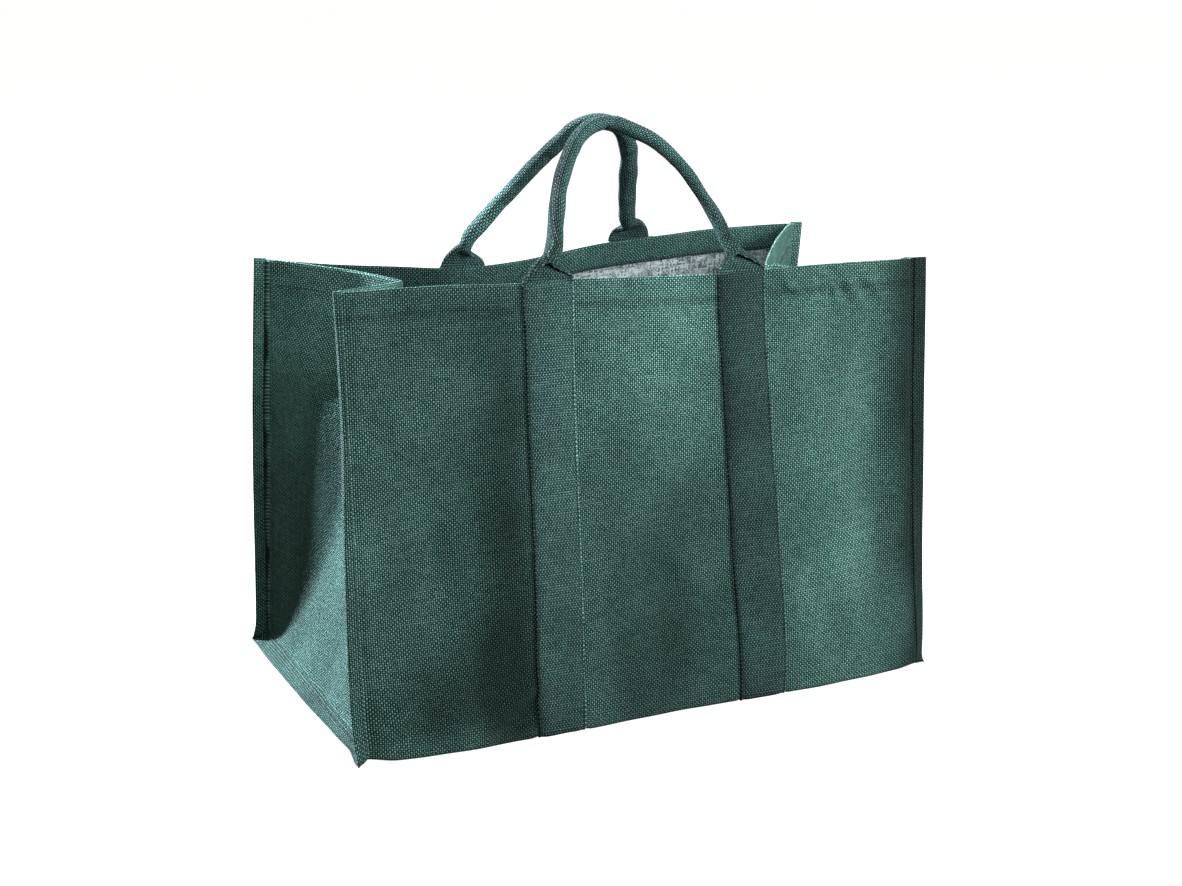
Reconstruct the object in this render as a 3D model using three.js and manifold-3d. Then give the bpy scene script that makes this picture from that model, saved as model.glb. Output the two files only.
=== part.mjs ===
// Large open-top woven carrying bag with two padded loop handles.
// Millimetres, +X along the bag's length, +Y to the back, +Z up. The origin is
// on the floor, under the middle of the base.

import * as THREE from 'three';
import { mergeVertices } from 'three/addons/utils/BufferGeometryUtils.js';
import Module from 'manifold-3d';

const wasm = await Module();
wasm.setup();

// ---- Driving dimensions ----

const LENGTH = 600;           // along X, over the seam flanges
const BASE_DEPTH = 325;       // along Y, over the folds of the base
const TOP_HEIGHT = 408;       // floor to top edge
const FRONT_TOP_Y = -126;     // the front panel leans in to here at the top edge
const BACK_TOP_Y = 107;       // and the back panel to here

const CLOTH = 1.2;            // laminated body cloth
const WEBBING = 1.6;          // strap cloth
const GAP = 0.3;              // clearance between pieces that touch
const FLANGE = 13;            // seam allowance, turned outwards
const TURN_RADIUS = 2.5;      // bend of a gusset into its flange
const HEM = 25;               // top hem, turned inwards
const HEM_STOP = 8;           // the body's hem ends this far inside each seam
const FOLD_RADIUS = 5;        // folds of the cloth along the base

const STRAP_WIDTH = 48;
const STRAP_X = 97.5;         // centre lines of the straps, left and right of the middle
const STITCH_INSET = 3;       // stitch rows from a strap's edge
const STITCH_START = 18;      // above the base fold
const STITCH_STOP = 6;        // below the top edge

const PLEAT_DEPTH = 97;       // how far a gusset's top edge folds in at its middle
const PLEAT_DROP = 8;         // how much lower than the corners it is there
const FOOT_DEPTH = 50;        // how far in the point of the lower triangle leans
const FOOT_HEIGHT = 280;      // and how high up it is
const FOLD_SOFTNESS = 14;     // rounding of the two diagonal folds

const GRIP_RADIUS = 7.6;
const CORE_RADIUS = 5.5;      // rope core inside the handle
const TAB_LENGTH = 26;        // from the flat strap to the round grip
const ROOT_CLEARANCE = 3;     // the handles start this far above the straps' ends
const FRONT_LEAN = 41.9;      // degrees from upright, at which the handles meet
const BACK_LEAN = 39.2;

const THREAD_WIDTH = 0.9;
const THREAD_HEIGHT = 0.6;

// Centre lines of the handles: across the bag, and up along the leaning loop.
const FRONT_ARCH = [
  [-97.5, ROOT_CLEARANCE], [-95, 13], [-82, 35], [-69.5, 70], [-56, 105], [-36, 139], [-20, 158], [-2, 170],
  [17, 173], [37, 165], [58, 145], [76, 116], [84.5, 87], [93, 50], [97, 15], [97.5, ROOT_CLEARANCE],
];
const BACK_ARCH = [
  [-97.5, ROOT_CLEARANCE], [-91, 13], [-80, 30], [-68, 52], [-47, 95], [-27, 137], [-15, 156],
  [5, 165], [27, 159], [44, 145], [57, 122], [64, 99], [75, 53], [83, 29], [95, 12], [97.5, ROOT_CLEARANCE],
];

// ---- Derived places ----

const SEAM_X = LENGTH / 2 - FLANGE;
const BASE_Z = WEBBING + GAP;                 // underside of the base cloth
const FOLD_Z = BASE_Z + FOLD_RADIUS;          // where the panels leave the base folds
const LAYER = CLOTH + GAP;                    // step from one cloth layer to the next
const degrees = THREE.MathUtils.degToRad;
const lerp = THREE.MathUtils.lerp;

// Outer face of the front and back panels at a height.
const climb = (z) => THREE.MathUtils.clamp((z - FOLD_Z) / (TOP_HEIGHT - FOLD_Z), 0, 1.1);
const frontY = (z) => lerp(-BASE_DEPTH / 2, FRONT_TOP_Y, climb(z));
const backY = (z) => lerp(BASE_DEPTH / 2, BACK_TOP_Y, climb(z));

// ---- Materials ----

const material = (color, roughness) => new THREE.MeshStandardMaterial({ color, roughness, metalness: 0 });
const bodyMaterial = material(0x3f6b60, 0.9);
const strapMaterial = material(0x41646a, 0.88);
const threadMaterial = material(0x22302c, 0.7);
const ropeMaterial = material(0xb79f74, 0.95);

const bag = new THREE.Group();

function add(name, geometry, meshMaterial) {
  const mesh = new THREE.Mesh(geometry, meshMaterial);
  mesh.name = name;
  bag.add(mesh);
}

// ---- Solids and booleans ----

function closedGeometry(positions, indices) {
  const geometry = new THREE.BufferGeometry();
  geometry.setAttribute('position', new THREE.BufferAttribute(new Float32Array(positions), 3));
  geometry.setIndex([...indices]);
  geometry.computeVertexNormals();
  return geometry;
}

function toManifold(geometry) {
  const bare = geometry.clone();
  bare.deleteAttribute('normal');
  bare.deleteAttribute('uv');
  const merged = mergeVertices(bare, 1e-4);
  return new wasm.Manifold(new wasm.Mesh({
    numProp: 3,
    vertProperties: new Float32Array(merged.attributes.position.array),
    triVerts: new Uint32Array(merged.index.array),
  }));
}

function toGeometry(solid) {
  const mesh = solid.getMesh();
  return closedGeometry(mesh.vertProperties, mesh.triVerts);
}

// ---- Bands: strips of cloth with straight folds ----

// Outline of a band of one thickness around a centre line of 2D points.
function bandOutline(line, thickness) {
  const points = line.map(([a, b]) => new THREE.Vector2(a, b));
  const last = points.length - 1;
  const side = (sign) => points.map((point, i) => {
    const into = point.clone().sub(points[Math.max(i - 1, 0)]).normalize();
    const out = points[Math.min(i + 1, last)].clone().sub(point).normalize();
    if (i === 0) into.copy(out);
    if (i === last) out.copy(into);
    const normal = new THREE.Vector2(-into.y - out.y, into.x + out.x).normalize();
    const mitre = thickness / 2 / normal.dot(new THREE.Vector2(-out.y, out.x));
    return point.clone().addScaledVector(normal, sign * mitre);
  });
  return [...side(1), ...side(-1).reverse()];
}

// A band whose centre line lies in the YZ plane, from xLow to xHigh.
function foldedBand(line, thickness, xLow, xHigh) {
  const shape = new THREE.Shape(bandOutline(line, thickness));
  const geometry = new THREE.ExtrudeGeometry(shape, { depth: xHigh - xLow, bevelEnabled: false });
  const alongX = new THREE.Matrix4().makeBasis(
    new THREE.Vector3(0, 1, 0), new THREE.Vector3(0, 0, 1), new THREE.Vector3(1, 0, 0));
  return geometry.applyMatrix4(alongX.setPosition(xLow, 0, 0));
}

// Centre line down the front, under the base and up the back, at a distance
// outside the cloth's outer face (a negative distance is inside it).
function wrapLine(distance, topZ) {
  const steps = 4;
  const radius = FOLD_RADIUS + distance;
  const quarter = (centreY, fromDegrees) => Array.from({ length: steps + 1 }, (_, i) => {
    const turn = degrees(fromDegrees + 90 * i / steps);
    return [centreY + radius * Math.cos(turn), FOLD_Z + radius * Math.sin(turn)];
  });
  return [
    [frontY(topZ) - distance, topZ],
    ...quarter(-BASE_DEPTH / 2 + FOLD_RADIUS, 180),
    ...quarter(BASE_DEPTH / 2 - FOLD_RADIUS, 270),
    [backY(topZ) + distance, topZ],
  ];
}

// ---- Body cloth: front, base and back in one piece, with its turned-in hems ----

function bodyCloth() {
  const middle = -CLOTH / 2;
  const top = TOP_HEIGHT + middle;
  const hemEnd = TOP_HEIGHT - HEM;
  const plain = wrapLine(middle, TOP_HEIGHT);
  const hemmed = [
    [frontY(hemEnd) - middle + LAYER, hemEnd], [frontY(top) - middle + LAYER, top],
    ...wrapLine(middle, top),
    [backY(top) + middle - LAYER, top], [backY(hemEnd) + middle - LAYER, hemEnd],
  ];
  const hemX = SEAM_X - HEM_STOP;
  const whole = toManifold(foldedBand(plain, CLOTH, -LENGTH / 2, LENGTH / 2));
  return toGeometry(whole.add(toManifold(foldedBand(hemmed, CLOTH, -hemX, hemX))));
}

// ---- Thick sheets: a closed skin around a grid of points ----

// points are on the sheet's middle surface, faces are quads of point indices
// that turn anticlockwise seen from the side its normals point to.
function thickSheet(points, faces, thickness) {
  const normals = points.map(() => new THREE.Vector3());
  const faceNormals = faces.map(([a, b, c, d]) => {
    const across = points[c].clone().sub(points[a]);
    return across.cross(points[d].clone().sub(points[b])).normalize();
  });
  faces.forEach((face, i) => face.forEach((p) => normals[p].add(faceNormals[i])));
  normals.forEach((normal) => normal.normalize());
  const reach = points.map(() => 1);
  faces.forEach((face, i) => face.forEach((p) => {
    reach[p] = Math.min(reach[p], Math.max(normals[p].dot(faceNormals[i]), 0.7));
  }));
  const skin = (sign) => points.flatMap((point, i) => (
    point.clone().addScaledVector(normals[i], sign * thickness / 2 / reach[i]).toArray()));
  const inner = points.length;
  const indices = [];
  const edges = new Set();
  for (const [a, b, c, d] of faces) {
    indices.push(a, b, c, a, c, d);
    indices.push(inner + a, inner + c, inner + b, inner + a, inner + d, inner + c);
    [[a, b], [b, c], [c, d], [d, a]].forEach(([from, to]) => edges.add(`${from} ${to}`));
  }
  for (const edge of edges) {
    const [from, to] = edge.split(' ').map(Number);
    if (edges.has(`${to} ${from}`)) continue;
    indices.push(to, from, inner + from, to, inner + from, inner + to);
  }
  return closedGeometry([...skin(1), ...skin(-1)], indices);
}

// Quads of a grid of columns by rows, leaving out the cells that skip names.
function gridFaces(columns, rows, skip, flip) {
  const faces = [];
  for (let row = 0; row < rows - 1; row += 1) {
    for (let column = 0; column < columns - 1; column += 1) {
      if (skip(column, row)) continue;
      const a = row * columns + column;
      const quad = [a, a + 1, a + columns + 1, a + columns];
      faces.push(flip ? quad.reverse() : quad);
    }
  }
  return faces;
}

// ---- Gussets: pleated inwards at the top, flat at the bottom ----

const FLANGE_Y = LAYER + CLOTH / 2;                 // panel's outer face to the flange's middle
const GUSSET_LOW = BASE_Z + FLANGE_Y + TURN_RADIUS;
const ACROSS = [-1, -0.88, -0.72, -0.54, -0.36, -0.18, 0, 0.18, 0.36, 0.54, 0.72, 0.88, 1];
const UP = [GUSSET_LOW, 30, 65, 100, 140, 180, 220, 260, 300, 340, TOP_HEIGHT - HEM, TOP_HEIGHT - CLOTH / 2];
const HEM_ACROSS = 0.75;                            // the gusset's hem stops here, near the corners

function softMin(a, b) {
  const width = Math.min(FOLD_SOFTNESS, Math.max(Math.min(a, b), 0.01));
  const near = Math.max(width - Math.abs(a - b), 0) / width;
  return Math.min(a, b) - near * near * width / 4;
}

// How far the gusset lies inside its seams: across is -1 at the front seam, 0 at
// the middle fold and 1 at the back seam.
function foldDepth(across, z) {
  const upper = THREE.MathUtils.clamp((z - FOOT_HEIGHT) / (TOP_HEIGHT - FOOT_HEIGHT), 0, 1);
  const ridge = lerp(FOOT_DEPTH, PLEAT_DEPTH, upper);
  const foot = z < FOOT_HEIGHT ? FOOT_DEPTH * z / FOOT_HEIGHT : ridge + FOLD_SOFTNESS;
  const wing = ridge * (1 - Math.abs(across));
  return softMin(foot, wing);
}

function gussetPoint(end, across, z) {
  const front = frontY(z) + FLANGE_Y + TURN_RADIUS;
  const back = backY(z) - FLANGE_Y - TURN_RADIUS;
  const drop = PLEAT_DROP * (1 - Math.abs(across)) * (z / TOP_HEIGHT) ** 2;
  return new THREE.Vector3(
    end * (SEAM_X - foldDepth(across, z)), lerp(front, back, (across + 1) / 2), z - drop);
}

// Unit normal of the gusset on the bag's inner side.
function gussetInward(end, across, z) {
  const step = 0.02;
  const alongY = gussetPoint(end, across + step, z).sub(gussetPoint(end, across - step, z));
  const alongZ = gussetPoint(end, across, z + 1).sub(gussetPoint(end, across, z - 1));
  return alongY.cross(alongZ).normalize().multiplyScalar(-end);
}

// Steps of a seam's bend: how far out along X, and how far towards the panel.
const BEND = [
  [FLANGE, TURN_RADIUS],
  [TURN_RADIUS, TURN_RADIUS],
  [TURN_RADIUS * (1 - Math.SQRT1_2), TURN_RADIUS * (1 - Math.SQRT1_2)],
];

function gusset(end) {
  const bends = BEND.length;
  const columns = ACROSS.length + 2 * bends;
  const points = [];
  const flat = (out, across, z) => new THREE.Vector3(
    end * (SEAM_X + out), gussetPoint(end, across, z).y, z);
  // Bottom flange, which turns out over the base.
  for (const [out, down] of BEND) {
    for (let column = 0; column < columns; column += 1) {
      const index = THREE.MathUtils.clamp(column - bends, 0, ACROSS.length - 1);
      points.push(flat(out, ACROSS[index], GUSSET_LOW).add(new THREE.Vector3(0, 0, -down)));
    }
  }
  // The face, with a flange along each side that lies inside the panel's own.
  for (const z of UP) {
    for (const [out, towards] of BEND) {
      points.push(flat(out, -1, z).add(new THREE.Vector3(0, -towards, 0)));
    }
    ACROSS.forEach((across) => points.push(gussetPoint(end, across, z)));
    for (const [out, towards] of [...BEND].reverse()) {
      points.push(flat(out, 1, z).add(new THREE.Vector3(0, towards, 0)));
    }
  }
  // The hem's inner layer, from the top edge down.
  for (const z of [...UP.slice(-2)].reverse()) {
    for (let column = 0; column < columns; column += 1) {
      const index = THREE.MathUtils.clamp(column - bends, 0, ACROSS.length - 1);
      const offset = gussetInward(end, ACROSS[index], z).multiplyScalar(LAYER);
      points.push(gussetPoint(end, ACROSS[index], z).add(offset));
    }
  }
  const topRow = bends + UP.length - 1;
  const skip = (column, row) => {
    const beside = column < bends || column >= columns - 1 - bends;
    if (row < bends) return beside;
    if (row < topRow) return false;
    return beside || Math.abs(ACROSS[column - bends]) > HEM_ACROSS || Math.abs(ACROSS[column - bends + 1]) > HEM_ACROSS;
  };
  const faces = gridFaces(columns, topRow + 3, skip, end > 0);
  return thickSheet(points, faces, CLOTH);
}

// ---- Straps: one loop of webbing each, up the front and the back ----

function strap(x) {
  const line = wrapLine(GAP + WEBBING / 2, TOP_HEIGHT);
  return foldedBand(line, WEBBING, x - STRAP_WIDTH / 2, x + STRAP_WIDTH / 2);
}

// ---- Handles ----

// side is -1 for the front handle and 1 for the back one.
const HANDLES = [
  { name: 'front', side: -1, topY: FRONT_TOP_Y, lean: FRONT_LEAN, arch: FRONT_ARCH },
  { name: 'rear', side: 1, topY: BACK_TOP_Y, lean: BACK_LEAN, arch: BACK_ARCH },
];

// The plane of a handle: its root line is over the straps' ends, in their middle.
function handlePlane({ side, topY, lean }) {
  const angle = degrees(lean);
  return {
    root: new THREE.Vector3(0, topY + side * (GAP + WEBBING / 2), TOP_HEIGHT),
    up: new THREE.Vector3(0, -side * Math.sin(angle), Math.cos(angle)),
    outward: new THREE.Vector3(0, side * Math.cos(angle), Math.sin(angle)),
  };
}

// Evenly spaced stations [x, up] along the whole arch.
function archStations(arch, spacing) {
  const curve = new THREE.CatmullRomCurve3(arch.map(([x, up]) => new THREE.Vector3(x, up, 0)), false, 'centripetal');
  const count = Math.round(curve.getLength() / spacing);
  return curve.getSpacedPoints(count);
}

// A closed tube around stations of the arch. section gives the half width in
// the handle's plane, the half thickness across it and how boxy it is.
function loftAlongArch(handle, stations, section, sides) {
  const { root, up, outward } = handlePlane(handle);
  const place = (x, rise, away) => root.clone().addScaledVector(up, rise).addScaledVector(outward, away)
    .add(new THREE.Vector3(x, 0, 0));
  const rings = stations.map((centre, i) => {
    const before = stations[Math.max(i - 1, 0)];
    const after = stations[Math.min(i + 1, stations.length - 1)];
    const tangent = after.clone().sub(before).normalize();
    const { halfWidth, halfThickness, boxy, square, out = 0 } = section(i);
    const level = new THREE.Vector3(tangent.y > 0 ? 1 : -1, 0, 0);
    const lateral = new THREE.Vector3(tangent.y, -tangent.x, 0).lerp(level, square).normalize();
    return Array.from({ length: sides }, (_, k) => {
      const turn = (k + 0.5) / sides * 2 * Math.PI;
      const power = 2 / boxy;
      const wide = Math.sign(Math.cos(turn)) * Math.abs(Math.cos(turn)) ** power * halfWidth;
      const thick = Math.sign(Math.sin(turn)) * Math.abs(Math.sin(turn)) ** power * halfThickness;
      return place(centre.x + lateral.x * wide, centre.y + lateral.y * wide, out + thick);
    });
  });
  const positions = rings.flat().flatMap((point) => point.toArray());
  const indices = [];
  for (let i = 0; i < rings.length - 1; i += 1) {
    for (let k = 0; k < sides; k += 1) {
      const next = (k + 1) % sides;
      const a = i * sides + k;
      const b = i * sides + next;
      indices.push(a, b, b + sides, a, b + sides, a + sides);
    }
  }
  const lastRing = (rings.length - 1) * sides;
  for (let k = 1; k < sides - 1; k += 1) {
    indices.push(0, k + 1, k);
    indices.push(lastRing, lastRing + k, lastRing + k + 1);
  }
  return closedGeometry(positions, handle.side < 0 ? indices.reverse() : indices);
}

// Share of the way from the flat tab to the round grip at a station.
function roundness(stations, i) {
  const fromEnd = Math.min(stations[i].distanceTo(stations[0]), stations[i].distanceTo(stations.at(-1)));
  return THREE.MathUtils.smoothstep(fromEnd, 2, TAB_LENGTH);
}

// Strap cloth rolled round the core: flat at its ends, a tube between them,
// hollow all the way through.
function handleCover(handle) {
  const stations = archStations(handle.arch, 11);
  const sectionOf = (inset) => (i) => {
    const round = roundness(stations, i);
    return {
      halfWidth: lerp(STRAP_WIDTH / 2, GRIP_RADIUS, round) - inset,
      halfThickness: lerp(WEBBING + GAP / 2, GRIP_RADIUS, round) - inset,
      boxy: lerp(8, 2, round),
      square: 1 - round,
    };
  };
  const outer = toManifold(loftAlongArch(handle, stations, sectionOf(0), 12));
  const longer = stations.map((point) => point.clone());
  longer[0].y -= 1;
  longer.at(-1).y -= 1;
  const inner = toManifold(loftAlongArch(handle, longer, sectionOf(WEBBING), 12));
  return toGeometry(outer.subtract(inner));
}

function handleCore(handle) {
  const stations = archStations(handle.arch, 11);
  const inside = stations.filter((_, i) => roundness(stations, i) > 0.97);
  const section = (i) => {
    const tip = i === 0 || i === inside.length - 1;
    const radius = tip ? CORE_RADIUS * 0.6 : CORE_RADIUS;
    return { halfWidth: radius, halfThickness: radius, boxy: 2, square: 0 };
  };
  return loftAlongArch(handle, inside, section, 10);
}

// ---- Threads ----

function seamThread(end) {
  const line = wrapLine(GAP + THREAD_HEIGHT / 2, TOP_HEIGHT - 2);
  const x = end * (SEAM_X + 1);
  return foldedBand(line, THREAD_HEIGHT, x - THREAD_WIDTH / 2, x + THREAD_WIDTH / 2);
}

// The row that holds a panel's hem, on its inner layer.
function panelHemThread(side) {
  const panelY = side < 0 ? frontY : backY;
  const inward = -side * (CLOTH + LAYER + GAP + THREAD_HEIGHT / 2);
  const line = [2, 3].map((above) => {
    const z = TOP_HEIGHT - HEM + above;
    return [panelY(z) + inward, z];
  });
  const reach = SEAM_X - HEM_STOP - 2;
  return foldedBand(line, THREAD_HEIGHT, -reach, reach);
}

// The row that holds a gusset's hem, on its outer face, following the pleat.
function gussetHemThread(end) {
  const z = TOP_HEIGHT - HEM + 2.5;
  const across = ACROSS.slice(1, -1);
  const points = [-THREAD_WIDTH / 2, THREAD_WIDTH / 2].flatMap((up) => across.map((at) => {
    const outward = gussetInward(end, at, z).multiplyScalar(-(CLOTH / 2 + GAP + THREAD_HEIGHT));
    return gussetPoint(end, at, z + up).add(outward);
  }));
  return thickSheet(points, gridFaces(across.length, 2, () => false, end > 0), THREAD_HEIGHT);
}

// One row up a strap's edge, across its top and down the other edge.
function strapThread(side, x) {
  const half = STRAP_WIDTH / 2 - STITCH_INSET;
  const low = FOLD_Z + STITCH_START;
  const high = TOP_HEIGHT - STITCH_STOP;
  const row = [[-half, low], [-half, high], [half, high], [half, low]];
  const shape = new THREE.Shape(bandOutline(row, THREAD_WIDTH));
  const geometry = new THREE.ExtrudeGeometry(shape, { depth: THREAD_HEIGHT, bevelEnabled: false });
  // The shape's up axis follows the leaning panel and its depth points outwards.
  const panelY = side < 0 ? frontY : backY;
  const up = new THREE.Vector3(0, panelY(TOP_HEIGHT) - panelY(FOLD_Z), TOP_HEIGHT - FOLD_Z).normalize();
  const outward = new THREE.Vector3(0, side * up.z, -side * up.y);
  const right = up.clone().cross(outward);
  const away = 2 * GAP + WEBBING;
  const origin = new THREE.Vector3(x, panelY(FOLD_Z), FOLD_Z).addScaledVector(up, -FOLD_Z)
    .addScaledVector(outward, away);
  return geometry.applyMatrix4(new THREE.Matrix4().makeBasis(right, up, outward).setPosition(origin));
}

// The row that closes the cover round the core, on the handle's outer side.
function handleThread(handle) {
  const stations = archStations(handle.arch, 11);
  const section = () => ({
    halfWidth: THREAD_WIDTH / 2,
    halfThickness: THREAD_HEIGHT / 2,
    boxy: 2,
    square: 0,
    out: GRIP_RADIUS + GAP + THREAD_HEIGHT / 2,
  });
  const round = stations.filter((_, i) => roundness(stations, i) === 1);
  return loftAlongArch(handle, round, section, 4);
}

// ---- Assembly ----

const SIDES = [['front', -1], ['back', 1]];
const ENDS = [['left', -1], ['right', 1]];

add('body_cloth', bodyCloth(), bodyMaterial);
for (const [endName, end] of ENDS) {
  add(`${endName}_gusset`, gusset(end), bodyMaterial);
  add(`${endName}_strap`, strap(end * STRAP_X), strapMaterial);
  add(`${endName}_gusset_seam_thread`, seamThread(end), threadMaterial);
  add(`${endName}_gusset_hem_thread`, gussetHemThread(end), threadMaterial);
  for (const [sideName, side] of SIDES) {
    add(`${sideName}_${endName}_strap_thread`, strapThread(side, end * STRAP_X), threadMaterial);
  }
}
for (const [sideName, side] of SIDES) {
  add(`${sideName}_hem_thread`, panelHemThread(side), threadMaterial);
}
for (const handle of HANDLES) {
  add(`${handle.name}_handle_cover`, handleCover(handle), strapMaterial);
  add(`${handle.name}_handle_core`, handleCore(handle), ropeMaterial);
  add(`${handle.name}_handle_thread`, handleThread(handle), threadMaterial);
}

export default bag;
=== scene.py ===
"""Visual model of the large open-top woven bag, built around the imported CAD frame.

Millimetres are used throughout and turned into metres only when a mesh is made.
Every cloth piece is a thick sheet: a closed skin round a grid of points that lie
on the sheet's middle surface. All of them take their places from one function,
skin_point, so that cloth, straps and stitches follow the same folds and sags.
"""

import math

import bpy
import numpy as np
from mathutils import Matrix, Vector


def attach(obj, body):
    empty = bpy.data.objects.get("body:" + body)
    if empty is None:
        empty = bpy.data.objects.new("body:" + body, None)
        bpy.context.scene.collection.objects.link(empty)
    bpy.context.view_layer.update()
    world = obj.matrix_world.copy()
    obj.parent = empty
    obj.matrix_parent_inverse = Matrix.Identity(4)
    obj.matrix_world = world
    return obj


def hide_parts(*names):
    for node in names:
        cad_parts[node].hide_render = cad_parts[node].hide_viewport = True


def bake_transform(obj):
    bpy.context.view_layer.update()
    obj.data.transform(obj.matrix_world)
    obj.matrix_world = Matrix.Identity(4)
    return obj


MM = 0.001

# ---- Sizes, the same as the CAD part's ----

LENGTH = 600
BASE_DEPTH = 325
HALF_BASE = BASE_DEPTH / 2
TOP_HEIGHT = 408
FRONT_TOP_Y = -126
BACK_TOP_Y = 107
CLOTH = 1.2
WEBBING = 1.6
GAP = 0.3
FLANGE = 13
SEAM_X = LENGTH / 2 - FLANGE
HEM = 25
HEM_ROW = HEM - 2         # the stitches of a hem, from the top edge
STRAP_WIDTH = 48
HALF_STRAP = STRAP_WIDTH / 2
STRAP_X = 97.5
STRAP_ROW = 22.3          # a strap's stitch rows, from its middle
PLEAT_DEPTH = 97
FOOT_DEPTH = 50
FOOT_HEIGHT = 280
FOOT_APEX = 240           # where the foot's creases meet in the middle of a gusset
GUSSET_START = 12         # a gusset's bottom seam
ROLL_RADIUS = 6.8         # a handle tube's axis to the middle of its cloth
FRONT_LEAN = 41.9
BACK_LEAN = 39.2
BASE_Z = WEBBING + GAP
FOLD_RADIUS = 4
FOLD_Z = BASE_Z + FOLD_RADIUS
LAYER = CLOTH + GAP
HEM_DEPTH = CLOTH + LAYER # outer face of a panel to the inner face of its hem
STRAP_GAP = 0.35          # a strap's clearance from the cloth under it
FLOOR_CLEARANCE = 0.65    # lowest middle surface of any cloth

FRONT_ARCH = [
    (-97.5, 0), (-95, 13), (-82, 35), (-69.5, 70), (-56, 105), (-36, 139), (-20, 158), (-2, 170),
    (17, 173), (37, 165), (58, 145), (76, 116), (84.5, 87), (93, 50), (97, 15), (97.5, 0),
]
BACK_ARCH = [
    (-97.5, 0), (-91, 13), (-80, 30), (-68, 52), (-47, 95), (-27, 137), (-15, 156), (5, 165),
    (27, 159), (44, 145), (57, 122), (64, 99), (75, 53), (83, 29), (95, 12), (97.5, 0),
]

FRONT, BACK = -1, 1
LEFT, RIGHT = -1, 1
END_NAMES = {LEFT: "left", RIGHT: "right"}
CORNERS = [(side, edge) for side in (FRONT, BACK) for edge in (LEFT, RIGHT)]

# Numbers of points along the undisturbed profile.
PANEL_STEPS = 160
FOLD_STEPS = 14
BASE_STEPS = 100


# ---- Small maths ----

def smooth(value, low, high):
    """0 below low, 1 above high, and a smooth step between them."""
    t = np.clip((np.asarray(value, float) - low) / (high - low), 0, 1)
    return t * t * (3 - 2 * t)


def bump(value, centre, width):
    """A smooth hill of height 1 at centre that has gone at about twice its width."""
    return np.exp(-((np.asarray(value, float) - centre) / width) ** 2)


def through(value, pairs):
    """Smooth curve through (place, height) pairs."""
    places, heights = np.array(pairs, float).T
    value = np.clip(np.asarray(value, float), places[0], places[-1])
    index = np.clip(np.searchsorted(places, value) - 1, 0, len(places) - 2)
    slopes = np.gradient(heights, places)
    step = places[index + 1] - places[index]
    t = (value - places[index]) / step
    return (
        heights[index] * (1 + 2 * t) * (1 - t) ** 2
        + heights[index + 1] * t * t * (3 - 2 * t)
        + slopes[index] * step * t * (1 - t) ** 2
        + slopes[index + 1] * step * t * t * (t - 1)
    )


def ripple(a, b, seed, length_a, length_b, waves=9):
    """Smooth random field of about unit height over coordinates a and b."""
    rng = np.random.default_rng(seed)
    total = np.zeros(np.broadcast(a, b).shape)
    for _ in range(waves):
        turn, phase = rng.uniform(0, 2 * math.pi, 2)
        pace = rng.uniform(0.5, 1.3)
        total += np.sin(
            2 * math.pi * pace * (a * math.cos(turn) / length_a + b * math.sin(turn) / length_b) + phase
        )
    return total / math.sqrt(waves / 2) * 0.7


def unit(vectors):
    length = np.linalg.norm(vectors, axis=-1, keepdims=True)
    return vectors / np.maximum(length, 1e-9)


# ---- The skin: the bag's outer face from the front top edge, under, to the back top edge ----

def way_along(points):
    """Way along a row of points, from its first one."""
    return np.concatenate([[0], np.cumsum(np.linalg.norm(np.diff(points, axis=0), axis=1))])


def fold_arc(centre_y, start):
    """A bottom fold's quarter turn, from an angle in degrees."""
    turns = np.radians(np.linspace(start, start + 90, FOLD_STEPS))
    return np.stack([centre_y + FOLD_RADIUS * np.cos(turns), FOLD_Z + FOLD_RADIUS * np.sin(turns)], axis=1)


def profile():
    """Points (y, z) of the undisturbed outer face, with the way along it and its normals."""
    heights = np.linspace(TOP_HEIGHT, FOLD_Z, PANEL_STEPS)
    share = (heights - FOLD_Z) / (TOP_HEIGHT - FOLD_Z)
    front = np.stack([share * (FRONT_TOP_Y + HALF_BASE) - HALF_BASE, heights], axis=1)
    back = np.stack([share * (BACK_TOP_Y - HALF_BASE) + HALF_BASE, heights], axis=1)[::-1]
    fold_y = HALF_BASE - FOLD_RADIUS
    base_y = np.linspace(-fold_y, fold_y, BASE_STEPS)[1:-1]
    base = np.stack([base_y, np.full(len(base_y), BASE_Z)], axis=1)
    points = np.vstack([front, fold_arc(-fold_y, 180)[1:], base, fold_arc(fold_y, 270), back[1:]])
    way = way_along(points)
    tangent = unit(np.gradient(points, way, axis=0))
    return points, way, np.stack([tangent[:, 1], -tangent[:, 0]], axis=1)


PROFILE, WAY, PROFILE_NORMALS = profile()
PANEL = math.hypot(FRONT_TOP_Y + BASE_DEPTH / 2, TOP_HEIGHT - FOLD_Z)   # along the front panel
FOLD = math.pi / 2 * FOLD_RADIUS
BASE = BASE_DEPTH - 2 * FOLD_RADIUS
BACK_START = PANEL + 2 * FOLD + BASE
WHOLE = WAY[-1]
FRONT_FOLD = PANEL + FOLD / 2
BACK_FOLD = BACK_START - FOLD / 2


def way_at(side, z):
    """Way along the profile at which a panel is at height z."""
    share = (TOP_HEIGHT - z) / (TOP_HEIGHT - FOLD_Z)
    if side == FRONT:
        return share * PANEL
    return WHOLE - share * (WHOLE - BACK_START)


# By the place across the front panel: how far its lower half and its foot stand out.
FRONT_BELLY = [(-287, 0), (-240, 0), (-180, -1), (-126, 10), (-75, 9), (0, 2), (85, 6), (135, 9), (200, 6),
               (240, 1), (287, 0)]
FRONT_FOOT = [(-287, 7), (-272, 13), (-245, 17), (-191, 19.5), (-133, 19.5), (-72, 18), (-9, 15.5),
              (56, 17), (84, 18.5), (122, 17), (170, 19), (205, 17), (264, 7), (287, 3)]
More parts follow.
